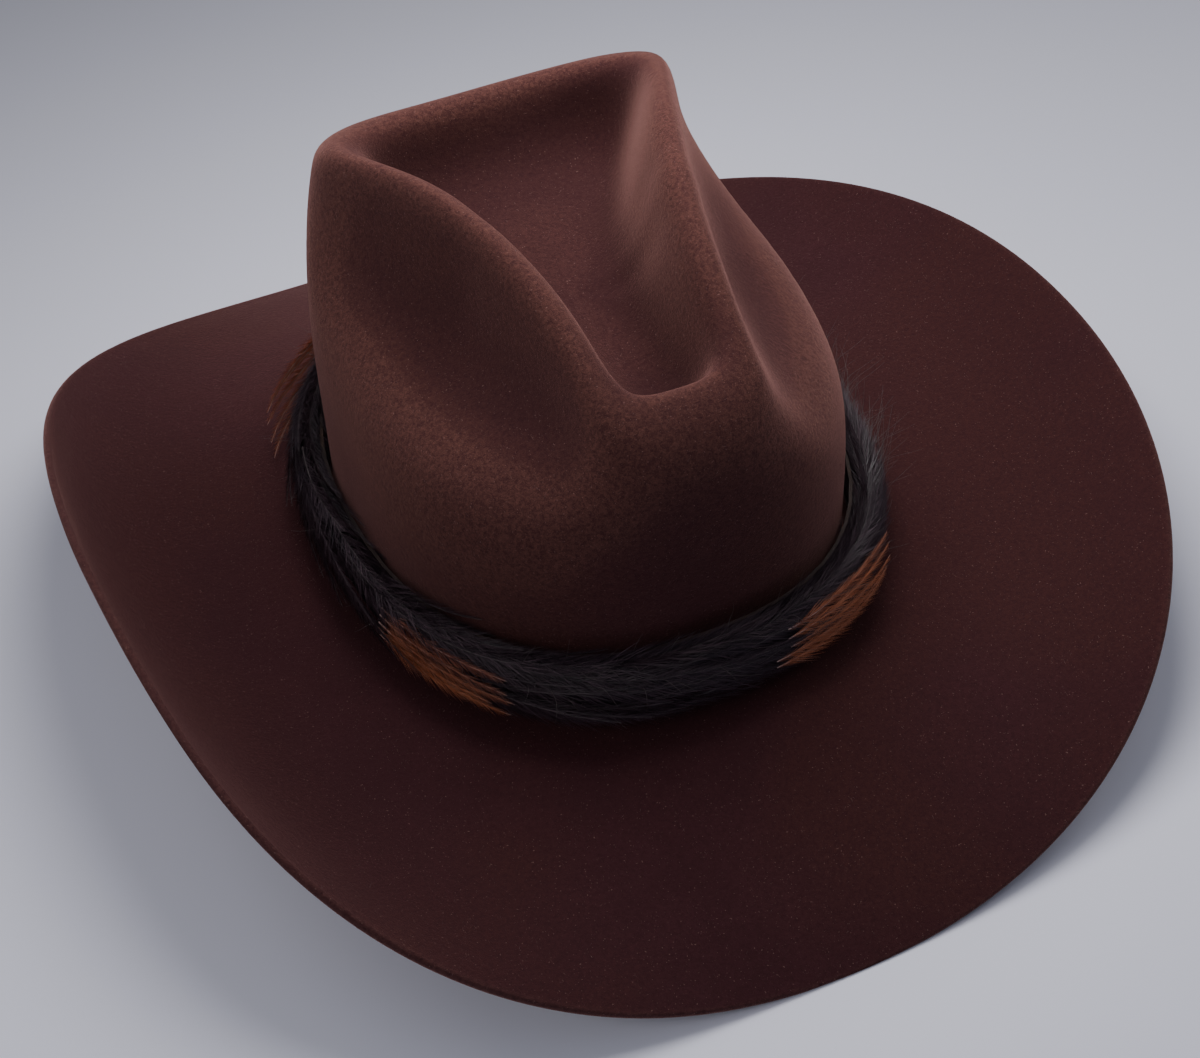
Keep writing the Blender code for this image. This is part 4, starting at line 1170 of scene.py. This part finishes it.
def make_hackles(look):
    """Twelve bunches of dark hackles laid round the band, all pointing the same way round."""
    tree, ruler = feather_tree(), BandRuler()
    materials = {
        "Barb": feather_paint("dark_hackle_barbs", look.hackle_root, look.hackle_tip, look.hackle_glint),
        "Quill": quill_paint("dark_quills", look.quill_colour),
        "Down": feather_paint("matted_down", look.hackle_root, look.hackle_tip, look.hackle_tip, 0.7),
    }
    end = math.pi - CLOSURE_HALF_ANGLE
    edges = np.linspace(-end, end, BUNDLE_COUNT + 1)
    last = ruler.length(end)
    for i in range(BUNDLE_COUNT):
        plumage = Plumage(ruler, seed=40 + i)
        random = plumage.random
        begin, finish = ruler.length(edges[i]), ruler.length(edges[i + 1])
        order = random.permutation(look.feathers_each)
        middle = math.degrees(edges[i] + edges[i + 1]) / 2.0
        ragged = float(abs(middle) > 60.0)
        for j in range(look.feathers_each):
            start = begin + (finish - begin) * (j + random.uniform(0.0, 0.8)) / look.feathers_each - 0.004
            start = max(start, ruler.length(-end) + 0.0005)
            length = min(look.feather_length * random.uniform(0.72, 1.12), last - start)
            turn = math.radians(-62.0 + 212.0 * (order[j] + random.uniform(0.2, 0.8)) / look.feathers_each)
            drift = math.radians(random.uniform(-34.0, 30.0))
            proud = (random.uniform(-0.0008, 0.0004), random.uniform(0.0002, 0.0052 + 0.0035 * ragged))
            barb = look.barb_length * random.uniform(0.8, 1.15) * min(1.0, length / 0.05)
            plumage.add_feather(start, length, turn, drift, proud, barb, random.uniform(0.00026, 0.00045))
        loose = 3.2 if 45.0 < middle < 150.0 else 1.0
        for _ in range(int(look.wisps_each * loose)):
            angle = random.uniform(edges[i], min(edges[i + 1], end - 0.03))
            turn = math.radians(random.uniform(-25.0, 100.0))
            length = look.wisp_length * random.uniform(0.4, 1.0 + 0.45 * (loose > 1.0))
            plumage.add_wisp(angle, turn, length, 0.00009)
        trim = 0.0002 / BLOCK_HALF_WIDTH
        down = down_body(edges[i] + trim, edges[i + 1] - trim, random)
        piece = plumage.piece(f"hackle_feathers_{i + 1:02d}", down)
        values = {"Spacing": look.barb_spacing, "Sweep": look.barb_sweep, "Seed": 10 + i}
        tree.grow(piece, {**values, **materials})
        finish_piece(piece, "hatband", "dark_hackle", f"hackle_bundle_{i + 1:02d}")


def accent_paint(look):
    """Rust barbs that turn orange towards one edge, with paler ends and a painted glint on random barbs."""
    paint = Paint("accent_barbs", {
        "Specular IOR Level": 0.45, "Sheen Weight": 0.15, "Sheen Roughness": 0.4,
        "Sheen Tint": rgba(look.accent_glint),
    })
    tone, reach, warm = (paint.attribute(name) for name in ("tone", "reach", "warm"))
    colour = paint.mix(warm, rgba(look.rust_colour), rgba(look.orange_colour))
    colour = paint.mix(paint.between(reach, 0.3, 1.0) * 0.45, colour, rgba(look.orange_colour))
    # Painted glint: random barbs take the glint colour.
    colour = paint.mix(tone ** 4.0 * 0.7, colour, rgba(look.accent_glint))
    darkest = paint.between(tone, 0.0, 0.25) * -0.5 + 0.5
    paint.set("Base Color", paint.mix(darkest, colour, rgba(look.rust_colour, 0.5)))
    paint.set("Roughness", tone * 0.2 + 0.42)
    return paint.material


def make_accents(look):
    """Four groups of rust and orange feathers over the dark ones."""
    tree, ruler = feather_tree(), BandRuler()
    barb, quill = accent_paint(look), quill_paint("pale_quills", look.pale_quill_colour)
    warmth = {
        "front_left": (0.0, 0.1, 0.35, 0.75, 1.0), "front_right": (0.5, 0.9, 1.0, 0.8, 1.0),
        "rear_left": (0.6, 0.9, 1.0, 0.8, 0.7), "rear_right": (0.2, 0.4, 0.6, 0.9, 0.9),
    }
    spring = {"front_left": 0.0, "front_right": 0.001, "rear_left": 0.007, "rear_right": 0.0}
    for number, (name, degrees) in enumerate(ACCENT_ANGLES.items()):
        plumage = Plumage(ruler, seed=90 + number)
        random = plumage.random
        middle = ruler.length(math.radians(degrees))
        for layer, (turn, warm) in enumerate(zip((34.0, 18.0, 2.0, -12.0, -26.0), warmth[name], strict=True)):
            length = look.accent_length * random.uniform(0.85, 1.0)
            start = middle - length / 2.0 + random.uniform(-0.003, 0.003)
            proud = (0.0008 + 0.0003 * layer + spring[name], 0.0050 + spring[name])
            drift = math.radians(random.uniform(-9.0, 3.0))
            turn = math.radians(turn)
            plumage.add_feather(start, length, turn, drift, proud, 0.0120, 0.00026, warm, count=20)
        piece = plumage.piece("accent_plume_" + name)
        values = {"Spacing": look.barb_spacing * 0.7, "Sweep": look.barb_sweep * 0.9, "Seed": 60 + number}
        tree.grow(piece, {**values, "Barb": barb, "Quill": quill, "Down": barb})
        finish_piece(piece, "hatband", "rust_feather", "accent_feather_" + name)


# ---------------------------------------------------------------------------------------------------------
# Leather


def stitch_tree():
    """Short rounded stitches laid end to end along a line, leaving a gap between them."""
    shape = Shape("stitches", [
        ("Spacing", "Float", 0.003), ("Length", "Float", 0.002), ("Seed", "Int", 1),
        ("Thread", "Material", None),
    ])
    row = shape.tree.nodes.new("GeometryNodeCurveToPoints")
    row.mode = "LENGTH"
    line = shape.node("GeometryNodeMeshToCurve", values={"Mesh": shape.given("Geometry")})
    shape.feed(row.inputs["Curve"], line)
    shape.feed(row.inputs["Length"], shape.given("Spacing"))
    tangent = Value(shape, row.outputs["Tangent"])
    turn = shape.node("FunctionNodeAlignRotationToVector", {"axis": "Z"}, {"Vector": tangent})
    thread = shape.node("GeometryNodeMeshUVSphere", values={"Segments": 6, "Rings": 4, "Radius": 0.5})
    slim = shape.node("GeometryNodeTransform", values={"Geometry": thread, "Scale": (0.24, 0.24, 1.0)})
    size = shape.vary(0.92, 1.06, 2) * shape.given("Length")
    placed = shape.node("GeometryNodeInstanceOnPoints", values={
        "Points": Value(shape, row.outputs["Points"]), "Instance": slim, "Rotation": turn, "Scale": size,
    })
    real = shape.node("GeometryNodeRealizeInstances", values={"Geometry": placed})
    shape.finish(shape.painted(real, "Thread"))
    return shape


def ring_strip(name, angles, section, material, closed=True):
    """A strip swept round the crown's foot. Its section is a list of (offset, height) points."""
    offsets, heights = np.array(section).T
    points = wall_point(angles[:, None], heights[None, :], offsets[None, :]) + PLACE
    count, sides = points.shape[:2]
    faces = loft_faces(count, sides, wrap_rows=closed)
    if not closed:
        faces += [tuple(range(sides)), tuple(range((count - 1) * sides, count * sides))]
    return face_outwards(add_piece(name, points.reshape(-1, 3), faces, [material]), sharp_degrees=50.0)


def rounded_section(inside, outside, bottom, top, steps=9):
    """The outline of a strip of leather with softened edges, as (offset, height) points."""
    half = (outside - inside) / 2.0
    levels = [bottom + half + (top - bottom - 2 * half) * share for share in np.linspace(0.0, 1.0, steps)]

    def arc(level, turns):
        return [(inside + half + half * math.cos(turn), level + half * math.sin(turn)) for turn in turns]

    outer = [(outside, level) for level in levels]
    inner = [(inside, level) for level in levels[::-1]]
    return outer + arc(top - half, (0.8, 1.6, 2.4)) + inner + arc(bottom + half, (3.9, 4.7, 5.5))


def make_sweatband(leather, lining):
    """The leather strip inside the crown, its stitches, tapes and reed, and the bow over its joint."""
    paint = leather_paint("sweatband_hide", leather.sweatband_colour, leather.worn_colour, roughness=0.42)
    slit = SWEATBAND_SLIT / 2.0 / BLOCK_HALF_LENGTH
    angles = np.linspace(-math.pi + slit, math.pi - slit, 181)
    inside = -SWEATBAND_OFFSET - SWEATBAND
    section = rounded_section(inside, -SWEATBAND_OFFSET, SWEATBAND_BOTTOM, SWEATBAND_TOP)
    band = ring_strip("sweatband_leather", angles, section, paint, closed=False)
    finish_piece(band, "root", "sweatband_leather", "sweatband")

    thread = woven_paint("sewing_thread", leather.thread_colour, thread=0.0002, roughness=0.6)
    tree = stitch_tree()
    rows = {"sweatband_seam_stitches": SEAM_INSET, "sweatband_top_stitches": SWEATBAND_TOP - SEAM_INSET}
    for name, height in rows.items():
        line = wall_point(np.linspace(-3.05, 3.05, 400), height, inside - 0.0001) + PLACE
        piece = add_piece(name, line, [], edges=[(i, i + 1) for i in range(len(line) - 1)])
        values = {"Spacing": leather.stitch_spacing, "Length": leather.stitch_length, "Thread": thread}
        tree.grow(piece, values)
        finish_piece(piece, "root", "sweatband_leather")

    repaint("sweatband_reed_tape", woven_paint("reed_tape_weave", lining.tape_colour))
    repaint("sweatband_seam_tape", woven_paint("seam_tape_weave", lining.tape_colour))
    repaint("sweatband_reed", quill_paint("reed_plastic", (0.60, 0.57, 0.50)))
    make_bow(lining)


def make_bow(lining):
    """The flat ribbon bow at the back of the sweatband: two puffed loops drawn in at a middle wrap."""
    columns, rows = 49, 9
    along = np.linspace(-BOW_HALF_LENGTH, BOW_HALF_LENGTH, columns)
    share = np.abs(along) / BOW_HALF_LENGTH
    wrap = 0.0006 * (share < 0.12)
    half = 0.0012 + 0.0028 * np.sin(np.clip(share * 1.25, 0.0, 1.0) * math.pi * 0.62) + wrap
    angles = math.pi + along / BLOCK_HALF_LENGTH
    inside = -SWEATBAND_OFFSET - SWEATBAND - 3.0 * GAP
    across = np.linspace(-1.0, 1.0, rows)
    crease = 0.00025 * np.cos(across[None, :] * 9.0) * (1.0 - share[:, None])
    puff = (0.0004 + 0.0006 * np.sin(share * math.pi) + wrap)[:, None]
    heights = BOW_HEIGHT + half[:, None] * across[None, :]
    front = wall_point(angles[:, None], heights, inside - puff - crease - 0.0003) + PLACE
    back = wall_point(angles[:, None], heights, inside) + PLACE
    points = np.concatenate([front, back[:, ::-1]], axis=1)
    faces = loft_faces(columns, 2 * rows)
    faces += [tuple(range(2 * rows)), tuple(range((columns - 1) * 2 * rows, columns * 2 * rows))]
    paint = woven_paint("bow_ribbon_satin", lining.piping_colour, thread=0.0003, roughness=0.35, sheen=0.4)
    bow = face_outwards(add_piece("bow_ribbon", points.reshape(-1, 3), faces, [paint]))
    finish_piece(bow, "root", "bow_satin", "sweatband_bow")


def make_band_ties(leather):
    """The strip behind the feathers, the caps at its ends, and the thong knotted between them."""
    paint = leather_paint("band_hide", leather.band_colour, leather.worn_colour, 1300.0, 0.6)
    repaint("hatband_backing", paint)
    for name, side in (("left", -1.0), ("right", 1.0)):
        wrap = make_end_wrap(name, side, paint)
        finish_piece(wrap, "hatband", "band_leather", "band_end_wrap_" + name)
        share = np.linspace(0.0, 1.0, 12)
        angles = math.pi - side * np.radians(4.2 * (1.0 - share) + 2.6 * share)
        line = ring_point(angles, TIE_HEIGHT, BACKING_OFFSET + 0.0022 + 0.0018 * share) + PLACE
        thong = add_tube("thong_" + name, line, THONG_RADIUS, 12, paint, flatten=0.75)
        finish_piece(thong, "hatband", "band_leather", "tie_thong_" + name)
    knot = make_knot(paint)
    finish_piece(knot, "hatband", "band_leather", "tie_knot")


def make_end_wrap(name, side, paint):
    """A folded cap of leather that closes one end of the band and narrows towards the thong."""
    count, sides = 15, 20
    turns = np.linspace(0.0, 2.0 * math.pi, sides, endpoint=False)
    rings = []
    for share in np.linspace(0.0, 1.0, count):
        angle = math.pi - side * (CLOSURE_HALF_ANGLE * (1.0 - share) + math.radians(4.4) * share - 0.002)
        half = CAP_HALF_HEIGHT - CAP_NARROWING * share**1.4
        opening = 0.6 + 0.4 * math.sin(math.pi * min(share * 4.0, 0.5))
        thick = CAP_HALF_THICKNESS * (0.75 + 0.35 * share) * opening
        offset = BACKING_OFFSET + thick + thick * power(np.cos(turns), 0.6)
        height = TIE_HEIGHT + half * power(np.sin(turns), 0.7)
        rings.append(ring_point(angle, height, offset) + PLACE)
    faces = loft_faces(count, sides) + [tuple(range(sides)), tuple(range((count - 1) * sides, count * sides))]
    return face_outwards(add_piece("band_cap_" + name, np.concatenate(rings), faces, [paint]))


def make_knot(paint):
    """An overhand knot drawn tight, with its two cut tails hanging down."""
    centre = ring_point(math.pi, TIE_HEIGHT, BACKING_OFFSET + 0.0046) + PLACE
    turns = np.linspace(0.0, 2.0 * math.pi, 72, endpoint=False)
    loops = np.stack([
        np.sin(turns) + 2.0 * np.sin(2.0 * turns), -0.85 * np.sin(3.0 * turns),
        np.cos(turns) - 2.0 * np.cos(2.0 * turns),
    ], axis=-1)
    knot = add_tube("thong_knot", centre + loops * KNOT_RADIUS, KNOT_RADIUS, 10, paint, closed=True)
    parts = [knot]
    for side in (-1.0, 1.0):
        share = np.linspace(0.0, 1.0, 16)
        drop = np.stack([
            side * (0.0016 + TAIL_SPREAD * share), 0.0006 + 0.0030 * np.sin(0.25 + 0.9 * share),
            -0.001 - TAIL_FALL * share**0.9,
        ], axis=-1)
        radius = TAIL_RADIUS * (1.0 - 0.25 * share**6)
        parts.append(add_tube("tail", centre + drop, radius, 10, paint, flatten=0.8))
    work = bmesh.new()
    for part in parts:
        work.from_mesh(part.data)
    work.to_mesh(knot.data)
    work.free()
    for part in parts[1:]:
        bpy.data.objects.remove(part)
    knot.data.shade_smooth()
    return knot


# ---------------------------------------------------------------------------------------------------------
# Lining


def inner_ring(angles, heights, depth):
    """Points inside the crown's wall at each height, a depth below the felt's outer face, in the frame."""
    paths, heading = crown_profiles(angles, MODEL_STEP)
    radius = []
    for path in paths:
        top = int(path[:, 1].argmax())
        radius.append(np.interp(heights, path[:top, 1], path[:top, 0]))
    radius = np.array(radius).T - depth
    levels = np.broadcast_to(np.asarray(heights)[:, None], radius.shape)
    rings = np.stack([radius * np.sin(heading), -radius * np.cos(heading), levels], axis=-1)
    return rings + PLACE


def make_lining(look):
    """The gathered satin wall, its domed top, the piping between them, and the clear sheet under the top."""
    satin = woven_paint("lining_satin", look.satin_colour, thread=0.0005, roughness=0.38, sheen=0.5)
    columns = 12 * look.pleats
    angles = np.linspace(0.0, 2.0 * math.pi, columns, endpoint=False)
    depth = FELT + LINING_GAP
    heights = np.linspace(LINING_BOTTOM, LINING_TOP, 13)
    rings = inner_ring(angles, heights, depth + LINING / 2.0)
    centre = np.array([PLACE[0], PLACE[1], 0.0])
    outward = (rings - centre) * (1.0, 1.0, 0.0)
    outward /= np.linalg.norm(outward, axis=-1, keepdims=True)
    gather = (np.sin(angles * look.pleats) + 0.4 * np.sin(angles * look.pleats * 0.5 + 1.0))[None, :]
    depthwise = (0.35 + 0.65 * (1.0 - np.linspace(0.0, 1.0, len(heights)) ** 2))[:, None]
    sway = (gather * depthwise * look.pleat_depth)[..., None]
    skin = LINING * 0.4
    outside = rings + outward * (sway * 0.6 + skin)
    inside = rings + outward * (sway * 0.6 - skin)
    loops = np.concatenate([outside, inside[::-1]])
    faces = loft_faces(len(loops), columns, wrap_rows=True)
    wall = face_outwards(add_piece("lining_wall", loops.reshape(-1, 3), faces, [satin]))
    finish_piece(wall, "root", "lining_satin", "lining_side")

    drop = LINING_TOP + GAP + PIPING_RADIUS
    rim = inner_ring(angles[::4], [LINING_TOP], depth + PIPING_RADIUS)[0]
    rim[:, 2] = PLACE[2] + drop
    twist = 1.0 + 0.07 * np.sin(np.arange(len(rim)) * 2.1)
    piping = woven_paint("piping_satin", look.piping_colour, thread=0.0004, roughness=0.4, sheen=0.4)
    cord = add_tube("lining_cord", rim, PIPING_RADIUS * 0.9 * twist, 10, piping, closed=True)
    finish_piece(cord, "root", "piping_satin", "lining_piping")

    edge = inner_ring(angles[::4], [LINING_TOP], depth + 2.0 * PIPING_RADIUS + 2.0 * GAP)[0] - PLACE
    shares = np.linspace(1.0, 0.0, 26)
    tucks = np.sin(angles[::4] * look.pleats / 2.0)
    upper = []
    for share in shares:
        ring = edge * share
        ring[:, 2] = drop + TIP_RISE * (1.0 - share**2) + tucks * 0.0003 * share**4
        upper.append(ring + PLACE)
    upper = np.array(upper)
    lower = upper - (0.0, 0.0, LINING * 0.8)
    strip = np.concatenate([upper[-2::-1], lower[:-1]])
    count = len(rim)
    points = np.concatenate([strip.reshape(-1, 3), upper[-1, :1], lower[-1, :1]])
    faces = loft_faces(len(strip), count)
    last = (len(strip) - 1) * count
    for j in range(count):
        turn = (j + 1) % count
        faces += [(len(points) - 2, turn, j), (len(points) - 1, last + j, last + turn)]
    tip = face_outwards(add_piece("lining_top", points, faces, [satin]))
    finish_piece(tip, "root", "lining_satin", "lining_tip")

    vinyl = Paint("clear_vinyl", {"Transmission Weight": 0.85, "IOR": 1.5, "Specular IOR Level": 0.6})
    ripple = vinyl.noise(90.0, detail=2.0)
    vinyl.set("Base Color", vinyl.mix(ripple, (0.80, 0.80, 0.78, 1.0), (0.92, 0.92, 0.90, 1.0)))
    vinyl.set("Roughness", ripple * 0.15 + 0.05)
    vinyl.bump(ripple, 0.3, 0.0004)
    repaint("lining_shield", vinyl.material)


# ---------------------------------------------------------------------------------------------------------
# Stage


def aim(thing, place, target, roll=0.0):
    """Puts a camera or a light at a place, looking at a target, turned about its own line of sight."""
    back = np.asarray(place, float) - np.asarray(target, float)
    back /= np.linalg.norm(back)
    right = np.cross((0.0, 0.0, 1.0), back)
    right /= np.linalg.norm(right)
    over = np.cross(back, right)
    tilted = right * math.cos(roll) + over * math.sin(roll)
    upright = np.cross(back, tilted)
    matrix = np.eye(4)
    matrix[:3, 0], matrix[:3, 1], matrix[:3, 2], matrix[:3, 3] = tilted, upright, back, place
    thing.matrix_world = Matrix(matrix.tolist())


def add_area_light(name, place, target, power_watts, width, colour):
    light = bpy.data.lights.new(name, "AREA")
    light.shape = "DISK"
    light.size = width
    light.energy = power_watts
    light.color = colour
    lamp = bpy.data.objects.new(name, light)
    bpy.context.scene.collection.objects.link(lamp)
    aim(lamp, place, target)


def make_stage(look):
    """A pale floor with painted light, brighter at the front and darker towards the back, soft lights, and
    the camera.
    """
    radius, sides = 6.0, 96
    turns = np.linspace(0.0, 2.0 * math.pi, sides, endpoint=False)
    ring = np.stack([radius * np.cos(turns), radius * np.sin(turns), np.full(sides, -0.0002)], axis=-1)
    paint = Paint("pale_board", {"Specular IOR Level": 0.35})
    cloud = paint.noise(3.0, detail=3.0)
    depth = paint.node("ShaderNodeSeparateXYZ", values={0: paint.place}, output=1)
    # Painted light: the floor is mixed from a lighter colour at the front to a darker one at the back,
    # standing in for the lights' falloff.
    near, far = rgba(look.floor_colour, 1.42), rgba(look.floor_colour, 0.50)
    board = paint.mix(paint.between(depth, -0.15, 0.75), near, far)
    paint.set("Base Color", paint.mix(cloud * 0.1, board, rgba(look.floor_colour)))
    paint.set("Roughness", cloud * 0.15 + 0.42)
    add_piece("floor", ring, [tuple(range(sides))], [paint.material])

    world = bpy.data.worlds.new("studio")
    world.use_nodes = True
    world.node_tree.nodes["Background"].inputs["Color"].default_value = (0.80, 0.84, 1.0, 1.0)
    world.node_tree.nodes["Background"].inputs["Strength"].default_value = 0.20
    bpy.context.scene.world = world
    middle = (0.0, 0.0, 0.06)
    below = (0.02, 0.03, 0.0)
    add_area_light("top_light", (0.05, 0.09, 0.44), below, look.top_power, 0.36, (1.0, 0.97, 0.96))
    add_area_light("back_light", (-0.75, 0.95, 1.25), middle, look.back_power, 0.9, (1.0, 0.98, 0.98))
    add_area_light("left_light", (-1.25, -0.30, 0.75), middle, look.left_power, 0.8, (1.0, 0.97, 0.95))
    add_area_light("right_light", (1.2, 0.10, 0.70), middle, look.right_power, 0.8, (1.0, 0.97, 0.95))

    camera = bpy.data.cameras.new("camera")
    camera.lens = look.lens
    camera.clip_start, camera.clip_end = 0.05, 50.0
    view = bpy.data.objects.new("camera", camera)
    bpy.context.scene.collection.objects.link(view)
    target = np.array([-0.0016, -0.0162, -0.0017]) + PLACE
    flat = math.cos(look.elevation)
    back = np.array([math.sin(look.azimuth) * flat, -math.cos(look.azimuth) * flat, math.sin(look.elevation)])
    aim(view, target + back * look.distance, target, look.roll)
    bpy.context.scene.camera = view


# ---------------------------------------------------------------------------------------------------------
# The add-on


class HAT_OT_stage(bpy.types.Operator):
    """Make the floor, the lights and the camera"""

    bl_idname = "hat.make_stage"
    bl_label = "Stage"

    def execute(self, context):
        make_stage(context.scene.hat_stage)
        return {"FINISHED"}


class HAT_OT_felt(bpy.types.Operator):
    """Block the felt crown and brim"""

    bl_idname = "hat.make_felt"
    bl_label = "Felt"

    def execute(self, context):
        make_felt_hat(context.scene.hat_felt)
        return {"FINISHED"}


class HAT_OT_nap(bpy.types.Operator):
    """Raise stray hairs on the felt"""

    bl_idname = "hat.make_nap"
    bl_label = "Nap"

    def execute(self, context):
        make_nap(context.scene.hat_felt)
        return {"FINISHED"}


class HAT_OT_hackles(bpy.types.Operator):
    """Lay the dark hackles round the band"""

    bl_idname = "hat.make_hackles"
    bl_label = "Hackles"

    def execute(self, context):
        make_hackles(context.scene.hat_feathers)
        return {"FINISHED"}


class HAT_OT_accents(bpy.types.Operator):
    """Lay the rust and orange feathers over the hackles"""

    bl_idname = "hat.make_accents"
    bl_label = "Accent feathers"

    def execute(self, context):
        make_accents(context.scene.hat_feathers)
        return {"FINISHED"}


class HAT_OT_ties(bpy.types.Operator):
    """Make the band's leather, its end caps and its tie"""

    bl_idname = "hat.make_ties"
    bl_label = "Band leather"

    def execute(self, context):
        make_band_ties(context.scene.hat_leather)
        return {"FINISHED"}


class HAT_OT_sweatband(bpy.types.Operator):
    """Make the sweatband, its stitches, tapes and bow"""

    bl_idname = "hat.make_sweatband"
    bl_label = "Sweatband"

    def execute(self, context):
        make_sweatband(context.scene.hat_leather, context.scene.hat_lining)
        return {"FINISHED"}


class HAT_OT_lining(bpy.types.Operator):
    """Make the satin lining and its piping"""

    bl_idname = "hat.make_lining"
    bl_label = "Lining"

    def execute(self, context):
        make_lining(context.scene.hat_lining)
        return {"FINISHED"}


LOOKS = {
    "hat_felt": HatFeltLook, "hat_feathers": HatFeatherLook, "hat_leather": HatLeatherLook,
    "hat_lining": HatLiningLook, "hat_stage": HatStageLook,
}
OPERATORS = (
    HAT_OT_stage, HAT_OT_felt, HAT_OT_nap, HAT_OT_hackles, HAT_OT_accents, HAT_OT_ties, HAT_OT_sweatband,
    HAT_OT_lining,
)


class HAT_PT_sidebar(bpy.types.Panel):
    """The hat's pieces and what can be changed on them"""

    bl_idname = "HAT_PT_sidebar"
    bl_label = "Felt hat"
    bl_space_type = "VIEW_3D"
    bl_region_type = "UI"
    bl_category = "Hat"

    def draw(self, context):
        for operator in OPERATORS:
            self.layout.operator(operator.bl_idname)
        for name, look in LOOKS.items():
            box = self.layout.box()
            for field in look.__annotations__:
                box.prop(getattr(context.scene, name), field)


def register():
    for made in (*LOOKS.values(), *OPERATORS, HAT_PT_sidebar):
        bpy.utils.register_class(made)
    for name, look in LOOKS.items():
        setattr(bpy.types.Scene, name, PointerProperty(type=look))


def unregister():
    for name in LOOKS:
        delattr(bpy.types.Scene, name)
    for made in (HAT_PT_sidebar, *reversed(OPERATORS), *reversed(LOOKS.values())):
        bpy.utils.unregister_class(made)


def main():
    register()
    bpy.ops.hat.make_stage()
    bpy.ops.hat.make_felt()
    bpy.ops.hat.make_nap()
    bpy.ops.hat.make_hackles()
    bpy.ops.hat.make_accents()
    bpy.ops.hat.make_ties()
    bpy.ops.hat.make_sweatband()
    bpy.ops.hat.make_lining()


if __name__ == "__main__":
    main()
